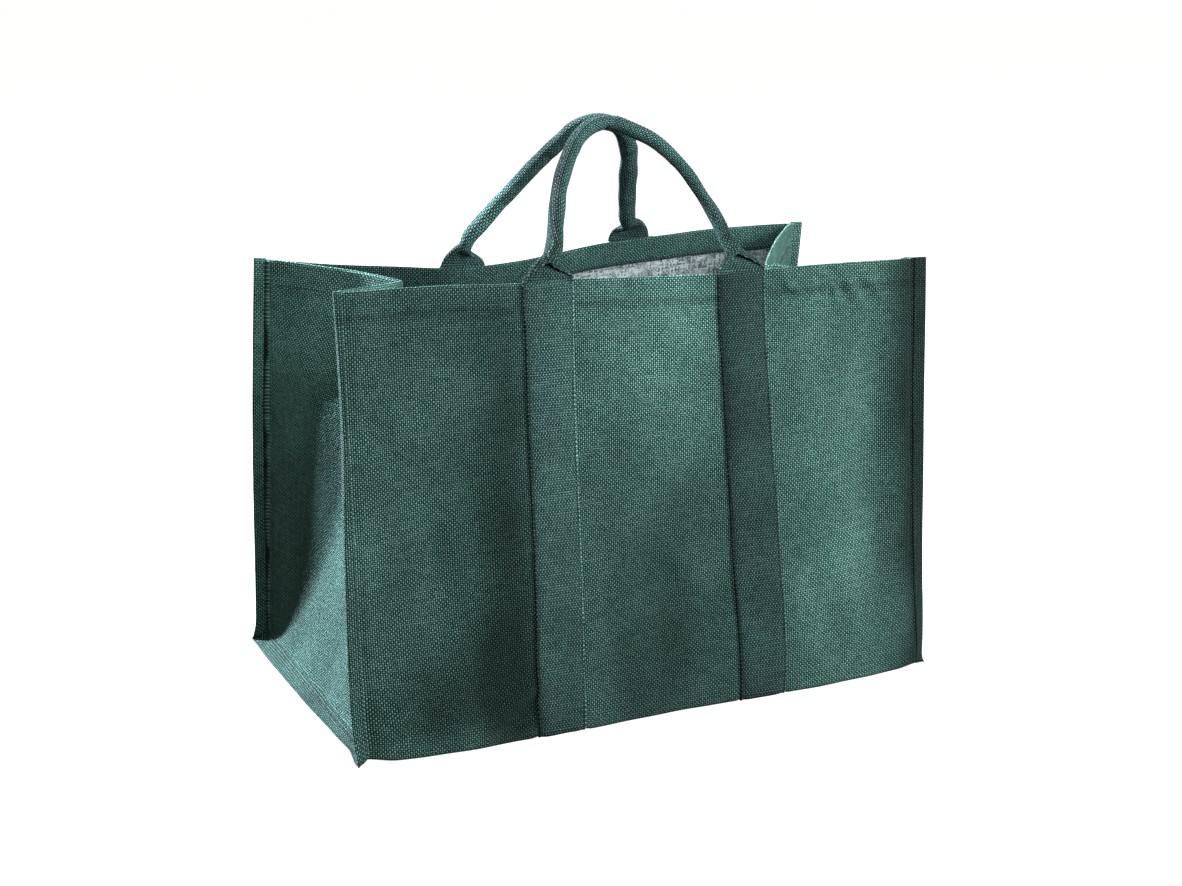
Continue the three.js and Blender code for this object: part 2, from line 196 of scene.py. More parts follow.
# By the place across the bag: how far each top edge arches up.
FRONT_RISE = [(-300, 3), (-207, 3), (-125, 0), (-73, 0.5), (0, -2), (73, -4), (122, -3), (200, -2),
              (300, -3)]
BACK_RISE = [(-300, -1), (-285, -3), (-240, -8), (-160, -13), (-100, -16), (-52, -15), (0, -12), (62, -6),
             (118, -3), (191, 1), (300, 2)]
# Small folds in the front panel: (x, down, angle, length, width, height).
FRONT_FOLDS = [
    (-150, 372, -0.55, 28, 8, 4.5), (-262, 380, -0.6, 22, 7, 3.0), (215, 22, 1.0, 18, 5, 3.0),
    (238, 20, 0.9, 16, 5, 2.6), (198, 30, 1.15, 16, 4, 2.2), (150, 18, 0.9, 14, 4, 2.2),
    (35, 60, 0.7, 60, 20, 2.0), (-20, 150, 0.8, 50, 18, 1.6), (200, 330, 1.2, 60, 16, 2.2),
    (-235, 120, 0.9, 60, 18, 1.8), (-190, 230, 1.4, 70, 14, 2.0), (30, 270, 1.0, 50, 15, 1.8),
]


def foot_share(down):
    """How much there is of the front foot's bulge, down millimetres below the top edge."""
    return smooth(down, PANEL - 150, PANEL - 5)


def front_swell(x, down):
    """How far the front panel stands out of its plane, down millimetres below its top edge."""
    foot = foot_share(down)
    hollow = 4 * bump(x, -200, 60) * bump(down, 210, 130)
    seam_hollow = 6 * bump(x, 242, 26) * smooth(down, 20, 160) * (1 - foot)
    belly = through(x, FRONT_BELLY) * bump(down, 330, 150) * smooth(down, 0, 150)
    slow = 2.2 * ripple(x, down, 11, 190, 420) * smooth(down, 0, 40) * (0.5 + 0.5 * smooth(down, 60, PANEL))
    quick = 0.6 * ripple(x, down, 12, 70, 260)
    for place, way, angle, length, width, height in FRONT_FOLDS:
        along = (x - place) * math.cos(angle) + (down - way) * math.sin(angle)
        aside = (down - way) * math.cos(angle) - (x - place) * math.sin(angle)
        ridge = bump(aside, 0, width) - 0.7 * bump(aside, 1.6 * width, width)
        quick = quick + height * bump(along, 0, length) * ridge
    hem_line = -0.5 * bump(down, HEM_ROW, 1.6)
    bulge = belly * (1 - foot) + through(x, FRONT_FOOT) * foot
    return bulge - hollow - seam_hollow + slow + quick + hem_line


def back_swell(x, down):
    """The same for the back panel: it bows inwards at its top, left of the middle."""
    bow = -22 * bump(x, -95, 115) * (1 - smooth(down, 0, 260)) * smooth(SEAM_X - abs(x), 0, 60)
    slow = 2.2 * ripple(x, down, 21, 170, 380) * smooth(down, -10, 60)
    quick = 0.5 * ripple(x, down, 22, 60, 240)
    hem_line = -0.4 * bump(down, HEM_ROW, 1.6)
    return bow + slow + quick + hem_line


def level(value):
    """A table by height that says the same all the way up."""
    return [(0, value), (TOP_HEIGHT, value)]


# By height: how much of a seam flange stays in its panel's plane, and the angle of the rest, in degrees.
FLANGE_FLAT = {corner: level(0) for corner in CORNERS}
FLANGE_FLAT[FRONT, LEFT] = [(0, 11.5), (74, 10), (125, 9), (176, 7.6), (227, 5.6), (273, 3.4), (313, 2.8),
                            (359, 3.4), (408, 4.9)]
FLANGE_TURN = {
    (FRONT, LEFT): [(0, 70), (100, 88), (250, 88), (330, 93), (408, 97)],
    (FRONT, RIGHT): [(0, 33), (100, 15), (200, 3), (408, -3)],
    (BACK, LEFT): level(8),
    (BACK, RIGHT): level(8),
}
FLANGE_BEND = 2.2         # a turned flange bends over this width


def flange_table(rows, end, way, z):
    """Value for the front or back flange at one end, none of it under the base."""
    shares = {
        FRONT: 1 - smooth(way, PANEL - 12, PANEL + FOLD + 8),
        BACK: smooth(way, BACK_START - FOLD - 8, BACK_START + 12),
    }
    return sum(shares[side] * (end == edge) * through(z, rows[side, edge]) for side, edge in CORNERS)


def flange_shape(past, flat, turn):
    """(along, back) of a point past millimetres beyond the seam: flat at first, then turned by an angle."""
    turn = np.where(abs(turn) < 1e-3, 1e-3, turn)
    beyond = np.maximum(past - flat, 0)
    in_bend = np.minimum(beyond, FLANGE_BEND)
    straight = np.maximum(beyond - FLANGE_BEND, 0)
    angle = turn * in_bend / FLANGE_BEND
    along = np.minimum(past, flat) + FLANGE_BEND / turn * np.sin(angle) + straight * np.cos(turn)
    back = FLANGE_BEND / turn * (1 - np.cos(angle)) + straight * np.sin(turn)
    return along, back


def skin_point(x, way):
    """Point of the bag's outer face at flat position x and way along the profile."""
    x, way = np.broadcast_arrays(np.asarray(x, float), np.asarray(way, float))
    y, z, normal_y, normal_z = (np.interp(way, WAY, values) for values in (*PROFILE.T, *PROFILE_NORMALS.T))
    down_back = WHOLE - way
    z = z - np.minimum(way, 0) - np.minimum(down_back, 0)
    on_front = 1 - smooth(way, PANEL + FOLD, PANEL + FOLD + 70)
    on_back = smooth(way, BACK_START - FOLD * 1.6, BACK_START - FOLD * 0.5)
    inside = smooth(SEAM_X + 2 - abs(x), 0, 45)
    front = on_front * front_swell(x, way) * (inside + (1 - inside) * foot_share(way))
    back = on_back * back_swell(x, down_back) * inside
    past = np.clip(abs(x) - SEAM_X, 0, FLANGE + 2)
    end = np.sign(x)
    turn = np.radians(flange_table(FLANGE_TURN, end, way, z))
    along, turned = flange_shape(past, flange_table(FLANGE_FLAT, end, way, z), turn)
    x = x + end * (along - past)
    y = y - front + normal_y * (back - turned)
    z = z + normal_z * (back - turned)
    z = z + through(x, FRONT_RISE) * (1 - smooth(way, 0, 190))
    z = z + through(x, BACK_RISE) * (1 - smooth(down_back, 0, 230))
    return corners(x, y, z, way, past)


def base_taper(end, y):
    """An end's bottom flange is narrower towards the front: its width's share, less one."""
    return np.where(end == LEFT, 1, 0.8) * through(y, BASE_TAPER)


VALLEY = 1.6              # depth of the panels' valley beside a seam
FLANGE_RISE = 1.6         # height of a seam flange's top over the hem
FRONT_FLARE = 2.4         # the front panel's top right corner leans outwards by this much
BACK_BOW = 3.6            # the back panel's left seam bows outwards by this much, half way up
END_LIFT = 6.2            # height of the base's ends over its middle
SLACK = 1.8               # the bottom folds hang this much lower beside the straps,
STRAP_PULL = 1.3          # and are drawn inwards by this much under them
CORNER_LIFT = 2.0         # height of the base beside its corners
EAR_DROP = 4.0            # how far the corners' ears droop
CORNER_REACH = 15

# By y, what base_taper adds to the width of a bottom flange.
BASE_TAPER = [(-165, -0.55), (-140, -0.5), (-110, -0.36), (-70, -0.24), (-30, -0.08), (20, 0.02), (70, 0.1),
              (120, 0.16), (165, 0.1)]
EARS = {                  # how far a base corner's flange is pulled (outwards, away from the bag)
    (FRONT, LEFT): (0.0, 14.0),
    (FRONT, RIGHT): (-1.5, 1.0),
    (BACK, LEFT): (2.5, 9.0),
    (BACK, RIGHT): (1.0, 4.0),
}


def corners(x, y, z, way, past):
    """Shapes the seams' valleys, the base's lifted ends and its corners with their pointed ears."""
    end = np.sign(x)
    on_front = 1 - smooth(way, PANEL - 30, PANEL)
    on_back = smooth(way, BACK_START, BACK_START + 30)
    valley = VALLEY * bump(abs(x), SEAM_X - 1.5, 4.5) * (past < 0.5)
    y = y + valley * (on_front - on_back)
    flange_top = FLANGE_RISE * smooth(abs(x), SEAM_X - 3, SEAM_X + 1) * smooth(z, 385, 405)
    z = z + flange_top
    x = x + FRONT_FLARE * on_front * smooth(x, 220, 280) * smooth(z, 240, 400)
    x = x - BACK_BOW * on_back * smooth(-x, 220, 280) * bump(z, 240, 180)
    under = smooth(way, PANEL + 4, PANEL + FOLD + 30)
    under = under * (1 - smooth(way, BACK_START - FOLD - 30, BACK_START - 4))
    z = z + under * (END_LIFT * smooth(abs(x), 240, SEAM_X) - 0.6 * past)
    x = x + under * end * past * base_taper(end, y)
    aside = np.minimum(abs(x - strap_centre(LEFT, PANEL)), abs(x - strap_centre(RIGHT, PANEL)))
    near_strap = 1 - smooth(aside, 22, 27)
    low = smooth(way, PANEL - 25, PANEL) * (1 - smooth(way, BACK_START, BACK_START + 25))
    z = z - SLACK * low * (1 - near_strap)
    y = y + STRAP_PULL * low * near_strap * np.where(way < (PANEL + BACK_START) / 2, 1, -1)
    near_corner = {FRONT: bump(way, FRONT_FOLD, CORNER_REACH), BACK: bump(way, BACK_FOLD, CORNER_REACH)}
    any_corner = near_corner[FRONT] + near_corner[BACK]
    pull = past / FLANGE
    for side, edge in CORNERS:
        outwards, away = EARS[side, edge]
        chosen = (end == edge) * pull * near_corner[side]
        x = x + end * chosen * outwards
        y = y + side * chosen * away
    z = z + CORNER_LIFT * smooth(abs(x), 262, SEAM_X) * (1 - pull) * any_corner
    z = z - EAR_DROP * pull * any_corner * smooth(z, 2, 8)
    return np.stack([x, y, z], axis=-1)


# Painted light and shade: where the cloth's colour is made lighter or darker to stand for how light falls on
# its folds, seams and corners: (x, way, half width, half length, amount).
BODY_PAINTED_SHADING = [
    (-148, 250, 34, 230, -0.62), (-165, 385, 65, 80, -0.36), (15, 45, 75, 110, 0.9), (10, 210, 70, 60, -0.1),
    (10, 350, 85, 100, -0.5), (195, 210, 52, 300, 0.52), (272, 200, 30, 700, -0.32),
    (298, 200, 24, 900, -0.85), (-294, FRONT_FOLD, 12, 16, -0.6), (-200, 365, 62, 50, -0.4),
    (-215, 403, 80, 18, 0.4), (-215, 20, 80, 40, -0.15), (-268, 180, 22, 160, 0.15),
]
# Painted light and shade on the straps: a painted shadow down each strap's left edge, a painted highlight
# down the left strap's right edge, and lighter or darker lengths: (across, way, half width, half length,
# amount).
STRAP_PAINTED_SHADING = {
    LEFT: [(24, 150, 2.2, 230, 0.3), (-24, 200, 3, 900, -0.6), (0, 100, 900, 150, 0.12),
           (0, 390, 900, 120, -0.2)],
    RIGHT: [(-24, 200, 3, 900, -0.5), (0, 100, 900, 300, -0.45), (0, 450, 900, 100, -0.2)],
}
# Painted light and shade on the handles: bands round each tube made darker or lighter where light falls less
# or more, and darker or lighter lengths: (across, way along the handle, half width, half length, amount).
HANDLE_PAINTED_SHADING = {
    FRONT: [(0, 20, 900, 40, -0.3), (0, 110, 900, 80, -0.3), (22, 115, 7, 90, -0.4),
            (10, 115, 6, 90, 0.3), (0, 290, 900, 75, 0.6), (21, 300, 6, 100, -0.5), (0, 410, 900, 25, -0.3)],
    BACK: [(0, 10, 900, 18, -0.35), (0, 60, 900, 40, 0.85), (-11, 120, 6, 60, -0.5), (3, 120, 6, 60, 0.3),
           (-8, 340, 8, 60, -0.5), (10, 340, 6, 60, 0.35), (0, 395, 900, 16, -0.4)],
}
# Painted light and shade on the gussets, lighter and darker patches and bands across them: (u across, v up
# the cloth, half width, half length, amount).
GUSSET_PAINTED_SHADING = {
    LEFT: [(-70, 170, 130, 110, 0.5), (60, 350, 90, 60, 0.6), (0, 415, 900, 34, 0.95),
           (0, 290, 900, 130, 0.55), (0, 392, 900, 22, -0.45), (0, -12, 900, 14, -0.2)],
    RIGHT: [(0, 420, 900, 60, 0.6), (0, -12, 900, 20, -0.55)],
}


def tone_and_painted_light(x, way, patches):
    """Share of the cloth's usual lightness: a slight random tone, with painted light and shade from the
    patches.
    """
    share = 1 + 0.1 * ripple(x, way, 61, 70, 110)
    for place, down, half_width, half_length, amount in patches:
        share = share + amount * bump(x, place, half_width) * bump(way, down, half_length)
    return np.clip(share, 0.25, 1.9)


def skin_normal(x, way):
    step = 0.8
    along_x = skin_point(np.asarray(x) + step, way) - skin_point(np.asarray(x) - step, way)
    along_way = skin_point(x, np.asarray(way) + step) - skin_point(x, np.asarray(way) - step)
    return unit(np.cross(along_way, along_x))


def skin_layer(x, way, out):
    """Like skin_point, but out millimetres outside the skin, never under the floor."""
    points = skin_point(x, way) + skin_normal(x, way) * np.asarray(out)[..., None]
    points[..., 2] = np.maximum(points[..., 2], FLOOR_CLEARANCE)
    return points


# ---- Gussets ----

GUSSET_GAP = 4.6          # panel's outer face to the gusset's middle at its seams
HALF_GUSSET = 148         # half a gusset's width between its seams, for its weave
BILLOW = {LEFT: 7, RIGHT: 1}                   # how far each half of a gusset's pleat bellies inwards


def fold_depth(across, z):
    """How far a gusset lies inside its seams: across is -1 at the front, 1 at the back."""
    upper = np.clip((z - FOOT_HEIGHT) / (TOP_HEIGHT - FOOT_HEIGHT), 0, 1)
    ridge = FOOT_DEPTH + upper * (PLEAT_DEPTH - FOOT_DEPTH)
    rise = np.maximum(z - GUSSET_START, 0) / (FOOT_APEX - GUSSET_START)
    foot = np.where(z < FOOT_APEX, FOOT_DEPTH * rise ** 0.66, ridge + 30)
    wing = ridge * (1 - np.sqrt(across ** 2 + 0.0015))
    width = np.minimum(5, np.maximum(np.minimum(foot, wing), 0.01) * 1.2 + 1)
    near = np.maximum(width - abs(foot - wing), 0) / width
    return np.minimum(foot, wing) - near ** 2 * width / 4


def gusset_point(end, across, z):
    across, z = np.broadcast_arrays(np.asarray(across, float), np.asarray(z, float))
    seam_x = end * SEAM_X
    front = skin_point(seam_x, way_at(FRONT, z))
    back = skin_point(seam_x, way_at(BACK, z))
    share = (across + 1) / 2
    y = (front[..., 1] + GUSSET_GAP) * (1 - share) + (back[..., 1] - GUSSET_GAP) * share
    height = front[..., 2] * (1 - share) + back[..., 2] * share
    dip = 12 * (1 - abs(across)) if end == LEFT else 21 * (1 - abs(across)) ** 2.2
    if end == RIGHT:
        dip = dip + 13 * smooth(-across, 0.02, 0.35) * (1 - smooth(-across, 0.8, 0.99))
    drop = dip * (z / TOP_HEIGHT) ** 2
    free = 1 - across ** 4
    foot = 1 - smooth(z, 0, FOOT_HEIGHT)
    wave = 1.3 * ripple(across * 160, z, 31 + end, 90, 260) * free
    crease = 2.6 * np.exp(-((across * 150 + 60 - (z - 60) * 0.55) / 7) ** 2) * bump(z, 60, 45) * free
    billow = BILLOW[end] * (1 - abs(2 * abs(across) - 1)) * smooth(z, 250, TOP_HEIGHT) * free
    depth = np.maximum(fold_depth(across, z) + wave - crease * foot + billow, 0)
    depth = depth * smooth(1 - abs(across), 0, 0.05)
    return np.stack([seam_x - end * depth, y, height - drop], axis=-1)


def gusset_inward(end, across, z):
    step = 0.01
    along_y = gusset_point(end, across + step, z) - gusset_point(end, across - step, z)
    along_z = gusset_point(end, across, z + 1) - gusset_point(end, across, z - 1)
    return unit(np.cross(along_y, along_z)) * -end


# ---- Meshes ----

RIM_ROUNDING = 0.45       # a sheet's rim stands out by this share of its thickness


def mesh_object(name, points, faces, uvs, materials, face_materials=None, tone_and_light_shares=None):
    """A mesh of points in millimetres, with a UV pair in millimetres and a share of lightness for each point,
    which holds random tone and painted light and shade.
    """
    mesh = bpy.data.meshes.new(name)
    mesh.from_pydata([tuple(p) for p in np.asarray(points) * MM], [], [list(map(int, f)) for f in faces])
    layer = mesh.uv_layers.new(name="Cloth")
    corners = np.zeros(len(mesh.loops), int)
    mesh.loops.foreach_get("vertex_index", corners)
    layer.data.foreach_set("uv", (np.asarray(uvs, float)[corners] * MM).astype(np.float32).ravel())
    # Each point's lightness share: random tone with painted light and shade, multiplied into the cloth's
    # colour.
    shares = np.ones(len(points)) if tone_and_light_shares is None else tone_and_light_shares
    mesh.attributes.new("ToneAndPaintedLight", "FLOAT", "POINT").data.foreach_set("value", shares.astype(np.float32))
    for material in materials:
        mesh.materials.append(material)
    if face_materials is not None:
        mesh.polygons.foreach_set("material_index", np.asarray(face_materials, np.int32))
    mesh.polygons.foreach_set("use_smooth", np.ones(len(mesh.polygons), bool))
    mesh.update()
    made = bpy.data.objects.new(name, mesh)
    bpy.context.scene.collection.objects.link(made)
    return made


def grid_quads(rows, columns):
    """The faces of a grid of points, as four point numbers each."""
    first = (np.arange(rows - 1)[:, None] * columns + np.arange(columns - 1)).ravel()
    return np.stack([first, first + 1, first + columns + 1, first + columns], axis=1)


def thick_sheet(name, grid, uvs, tone_and_light_shares, thickness, materials, flip=False, kept=None, lined=None):
    """A closed skin round a grid of points (rows, columns, 3) with rounded rims.

    The first material is on the side that the normals point to, and the second on the other side of lined
    columns. kept says which of the grid's faces there are.
    """
    rows, columns, _ = grid.shape
    points = grid.reshape(-1, 3)
    count = len(points)
    quads = grid_quads(rows, columns)
    if kept is not None:
        quads = quads[kept.ravel()]
    if flip:
        quads = quads[:, ::-1]
    a, b, c, d = (points[quads[:, k]] for k in range(4))
    face_normals = unit(np.cross(c - a, d - b))
    normals = np.zeros_like(points)
    for corner in range(4):
        np.add.at(normals, quads[:, corner], face_normals)
    half = unit(normals) * thickness / 2
    quads = quads.tolist()
    lining = np.zeros(columns, int) if lined is None else lined.astype(int)
    faces = quads + [[count + p for p in reversed(quad)] for quad in quads]
    kinds = [0] * len(quads) + [int(lining[min(quad) % columns]) for quad in quads]
    owner = {(quad[k - 1], quad[k]): index for index, quad in enumerate(quads) for k in range(4)}
    away = {}
    rim = []
    for (a, b), index in owner.items():
        if (b, a) not in owner:
            rim.append((a, b))
            outward = unit(np.cross(points[b] - points[a], face_normals[index]))
            away[a] = away.get(a, 0) + outward
            away[b] = away.get(b, 0) + outward
    ids = {p: 2 * count + k for k, p in enumerate(away)}
    for a, b in rim:
        faces.append([b, a, ids[a], ids[b]])
        faces.append([ids[b], ids[a], count + a, count + b])
        kinds += [0, 0]
    edge = np.array(list(away))
    rounded = points[edge] + unit(np.array(list(away.values()))) * thickness * RIM_ROUNDING
    every = np.vstack([points + half, points - half, rounded])
    source = np.concatenate([np.arange(count), np.arange(count), edge])
    used = np.unique(np.array(faces))
    renumber = np.full(len(every), -1)
    renumber[used] = np.arange(len(used))
    source = source[used]
    faces = renumber[np.array(faces)]
    uvs = uvs.reshape(-1, 2)[source]
    return mesh_object(name, every[used], faces, uvs, materials, kinds, tone_and_light_shares.ravel()[source])


# ---- Materials ----

FIBRES = 900              # fine fibres along a metre of cloth
WANDER_ACROSS = 60        # a thread's wander changes this often across a metre of threads,
WANDER_ALONG = 18         # and this often along one


class Nodes:
    """A short way to write a material's node tree."""

    def __init__(self, name):
        self.material = bpy.data.materials.new(name)
        self.material.use_nodes = True
        self.tree = self.material.node_tree
        self.tree.nodes.clear()
        self.shader = self.tree.nodes.new("ShaderNodeBsdfPrincipled")
        output = self.tree.nodes.new("ShaderNodeOutputMaterial")
        self.tree.links.new(self.shader.outputs["BSDF"], output.inputs["Surface"])

    def link(self, socket, value):
        """Links a socket to a value that is an output, or sets it to a number or a colour."""
        if hasattr(value, "is_output"):
            self.tree.links.new(value, socket)
        elif isinstance(value, tuple) and len(value) == 3 and len(socket.default_value) == 4:
            socket.default_value = (*value, 1)
        else:
            socket.default_value = value

    def add(self, kind, settings, *values):
        """A new node with its settings, and values for its first inputs."""
        node = self.tree.nodes.new("ShaderNode" + kind)
        for name, setting in settings.items():
            setattr(node, name, setting)
        for socket, value in zip(node.inputs, values):
            self.link(socket, value)
        return node

    def surface(self, **values):
        """Sets the shader's own inputs, named with underscores for spaces."""
        for name, value in values.items():
            self.link(self.shader.inputs[name.replace("_", " ")], value)

    def maths(self, operation, *values):
        return self.add("Math", {"operation": operation}, *values).outputs[0]

    def times(self, a, b):
        return self.maths("MULTIPLY", a, b)

    def total(self, first, *others):
        for value in others:
            first = self.maths("ADD", first, value)
        return first

    def clamped(self, value):
        return self.maths("MINIMUM", self.maths("MAXIMUM", value, 0.0), 1.0)

    def uv(self):
        place = self.add("UVMap", {"uv_map": "Cloth"}).outputs["UV"]
        return self.add("SeparateXYZ", {}, place).outputs[:2]

    # The point's lightness share, which holds random tone and painted light and shade.
    def tone_and_painted_light(self):
        return self.add("Attribute", {"attribute_name": "ToneAndPaintedLight"}).outputs["Fac"]

    def scaled(self, colour, share):
        node = self.add("VectorMath", {"operation": "SCALE"}, colour)
        self.link(node.inputs["Scale"], share)
        return node.outputs[0]

    def noise(self, x, y, z=0.0, scale=1.0, detail=2.0, roughness=0.5):
        place = self.add("CombineXYZ", {}, x, y, z).outputs[0]
        node = self.add("TexNoise", {})
        for name, value in dict(Vector=place, Scale=scale, Detail=detail, Roughness=roughness).items():
            self.link(node.inputs[name], value)
        return node.outputs[0]

    def mix(self, share, a, b):
        node = self.add("Mix", {"data_type": "RGBA"})
        for socket, value in zip((node.inputs[0], *node.inputs[6:8]), (share, a, b)):
            self.link(socket, value)
        return node.outputs[2]

    def ranged(self, value, low, high, to_low, to_high):
        return self.add("MapRange", {}, value, low, high, to_low, to_high).outputs[0]

    def bump(self, height, distance):
        node = self.add("Bump", {})
        self.link(node.inputs["Distance"], distance * MM)
        self.link(node.inputs["Strength"], 1.0)
        self.link(node.inputs["Height"], height)
        self.surface(Normal=node.outputs[0])


def weave(nodes, pitch_x, pitch_y, wander, slubs=75):
    """Plain weave: (height, share of the cross threads on top, shade of the top thread).

    slubs is the number of changes of shade along a metre of thread.
    """
    u, v = nodes.uv()
    slow_u = nodes.noise(nodes.times(u, WANDER_ACROSS), nodes.times(v, WANDER_ALONG))
    slow_v = nodes.noise(nodes.times(u, WANDER_ALONG), nodes.times(v, WANDER_ACROSS), 3.0)
    turns_u = nodes.maths("MULTIPLY_ADD", u, 1 / (pitch_x * MM), nodes.times(slow_u, wander))
    turns_v = nodes.maths("MULTIPLY_ADD", v, 1 / (pitch_y * MM), nodes.times(slow_v, wander))
    wave_u = nodes.maths("SINE", nodes.times(turns_u, math.pi))
    wave_v = nodes.maths("SINE", nodes.times(turns_v, math.pi))
    both = nodes.times(wave_u, wave_v)
    warp = nodes.total(nodes.maths("ABSOLUTE", wave_u), both)
    weft = nodes.maths("SUBTRACT", nodes.maths("ABSOLUTE", wave_v), both)
    height = nodes.times(nodes.maths("MAXIMUM", warp, weft), 0.5)
    on_top = nodes.maths("GREATER_THAN", weft, warp)
    thread_u, thread_v = (nodes.maths("FLOOR", turns) for turns in (turns_u, turns_v))
    warp_shade = nodes.noise(thread_u, nodes.times(v, slubs), scale=1.7, detail=2.5)
    weft_shade = nodes.noise(nodes.times(u, slubs), thread_v, 5.0, scale=1.7, detail=2.5)
    below = nodes.maths("SUBTRACT", 1.0, on_top)
    return height, on_top, nodes.total(nodes.times(warp_shade, below), nodes.times(weft_shade, on_top))


def jute(name, dark, light, pitch_x, pitch_y, depth):
    """Dyed woven cloth: threads of uneven shade over gaps that are darkened as painted shade, matt, with a
    slight sheen of loose fibre.
    """
    nodes = Nodes(name)
    height, on_top, shade = weave(nodes, pitch_x, pitch_y, 1.1)
    u, v = nodes.uv()
    patches = nodes.noise(u, v, scale=14.0, detail=3.0, roughness=0.6)
    fibre = nodes.noise(nodes.times(u, FIBRES), nodes.times(v, FIBRES))
    amount = nodes.total(
        nodes.ranged(shade, 0.3, 0.7, 0.22, 0.72),
        nodes.ranged(patches, 0.3, 0.7, 0.0, 0.2),
        nodes.ranged(fibre, 0.35, 0.65, -0.1, 0.2),
        nodes.times(on_top, -0.5),
    )
    # Painted shade: the gaps between the threads, and the threads' sides as they sink towards them, are made
    # darker, as they would be in shade.
    painted_gap_shade = tuple(0.12 * c for c in dark)
    thread = nodes.mix(nodes.clamped(amount), dark, light)
    cloth = nodes.mix(nodes.ranged(height, 0.40, 0.80, 0.0, 1.0), painted_gap_shade, thread)
    # The base colour is multiplied by each point's lightness share, which holds random tone and painted light
    # and shade.
    nodes.surface(
        Base_Color=nodes.scaled(cloth, nodes.tone_and_painted_light()),
        Roughness=nodes.ranged(fibre, 0.3, 0.7, 0.78, 0.95),
        Specular_IOR_Level=0.07,
        Sheen_Weight=0.05,
        Sheen_Roughness=0.5,
        Sheen_Tint=(0.62, 0.85, 0.83),
    )
    nodes.bump(nodes.maths("MULTIPLY_ADD", fibre, 0.25, height), depth)
    return nodes.material


def lamination():
    """The thin pale film on the inside, through which the dark weave shows."""
    nodes = Nodes("LiningFilm")
    height, _, shade = weave(nodes, 2.0, 2.0, 1.4, slubs=40)
    patches = nodes.noise(*nodes.uv(), scale=22.0, detail=3.0, roughness=0.6)
    threads = nodes.times(nodes.ranged(shade, 0.42, 0.60, 0.0, 1.0), 0.95)
    veil = nodes.total(threads, nodes.ranged(patches, 0.35, 0.7, -0.15, 0.3))
    nodes.surface(
        Base_Color=nodes.mix(nodes.clamped(veil), (0.36, 0.40, 0.41), (0.03, 0.045, 0.045)),
        Roughness=nodes.ranged(shade, 0.3, 0.7, 0.35, 0.55),
        Specular_IOR_Level=0.5,
    )
    nodes.bump(height, 0.25)
    return nodes.material


def thread_material():
    nodes = Nodes("SewingThread")
    u, v = nodes.uv()
    twist = nodes.maths("SINE", nodes.total(nodes.times(u, 9000), nodes.times(v, 9000)))
    share = nodes.ranged(twist, -1.0, 1.0, 0.0, 1.0)
    nodes.surface(Base_Color=nodes.mix(share, (0.012, 0.024, 0.022), (0.035, 0.06, 0.056)), Roughness=0.6)
    nodes.bump(twist, 0.1)
    return nodes.material


def rope_material():
    nodes = Nodes("NaturalRope")
    u, v = nodes.uv()
    strand = nodes.maths("SINE", nodes.maths("MULTIPLY_ADD", u, 2500, nodes.times(v, 900)))
    fibre = nodes.noise(nodes.times(u, 300), nodes.times(v, 1500))
    shade = nodes.total(nodes.ranged(strand, -1.0, 1.0, 0.0, 0.5), nodes.times(fibre, 0.5))
    nodes.surface(Base_Color=nodes.mix(shade, (0.22, 0.15, 0.08), (0.50, 0.38, 0.22)), Roughness=0.9)
    nodes.bump(nodes.total(strand, fibre), 0.3)
    return nodes.material


JUTE_DARK = (0.018, 0.070, 0.056)
JUTE_LIGHT = (0.210, 0.412, 0.370)
STRAP_DARK = (0.018, 0.060, 0.056)
STRAP_LIGHT = (0.215, 0.420, 0.395)


# ---- Pieces ----

def spread(low, high, step):
    return np.linspace(low, high, max(int(round(abs(high - low) / step)), 1) + 1)


def cloth_ways(margin):
    """Places along the profile for a cloth's rows, closer together round the folds."""
    return np.concatenate([
        spread(margin, PANEL, 4),
        spread(PANEL + 1.2, PANEL + FOLD - 1.2, 1.4),
        spread(PANEL + FOLD, BACK_START - FOLD, 9),
        spread(BACK_START - FOLD + 1.2, BACK_START - 1.2, 1.4),
        spread(BACK_START, WHOLE - margin, 4),
    ])


def body_cloth(jute_material, film):
    """Front, base and back in one sheet, with its ends turned in as hems."""
    inner = -HEM_DEPTH - 0.4
    middle = -CLOTH / 2
    hem = [(HEM, inner + 0.5), (HEM - 3, inner + 0.3), (18, inner - 0.5), (11, inner - 0.7), (5, inner - 0.2),
           (1.5, inner), (0.4, inner + 0.15), (0.0, (inner + middle) / 2), (0.4, middle - 0.15)]
    rows = hem + [(way, middle) for way in cloth_ways(1.6)]
    rows += [(WHOLE - way, out) for way, out in reversed(hem)]
    hem_count = len(hem) - 1
    flange_xs = spread(SEAM_X, LENGTH / 2, 1.2)
    seam_xs = spread(262, SEAM_X - 2, 3)
    xs = np.concatenate([-flange_xs[::-1], -seam_xs[::-1], spread(-257, 257, 4.5), seam_xs, flange_xs])
    ways, outs = np.array(rows).T
    grid_x, grid_way = np.meshgrid(xs, ways)
    grid = skin_layer(grid_x, grid_way, np.broadcast_to(outs[:, None], grid_x.shape))
    uvs = np.stack(np.meshgrid(xs, way_along(np.array(rows))), axis=-1)
    row = np.arange(len(rows) - 1)
    in_hem = (row < hem_count) | (row >= len(row) - hem_count)
    kept = ~np.outer(in_hem, np.maximum(-xs[:-1], xs[1:]) > SEAM_X - 4)
    # Random tone with painted light and shade: painted shade in the groove of the front hem's stitch row, and
    # painted shade on the back panel's turned-in hem, deepest towards the left.
    tone_and_light_shares = tone_and_painted_light(grid_x, grid_way, BODY_PAINTED_SHADING) * (1 - 0.4 * bump(grid_way, HEM_ROW, 3))
    tone_and_light_shares[-hem_count:] *= 0.88 - 0.35 * smooth(-xs, 60, 160)
    piece = thick_sheet("body_cloth_sewn", grid, uvs, tone_and_light_shares, CLOTH, [jute_material, film], flip=True,
                        kept=kept, lined=abs(xs) < SEAM_X - 0.5)
    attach(piece, "bag")
    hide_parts("body_cloth")


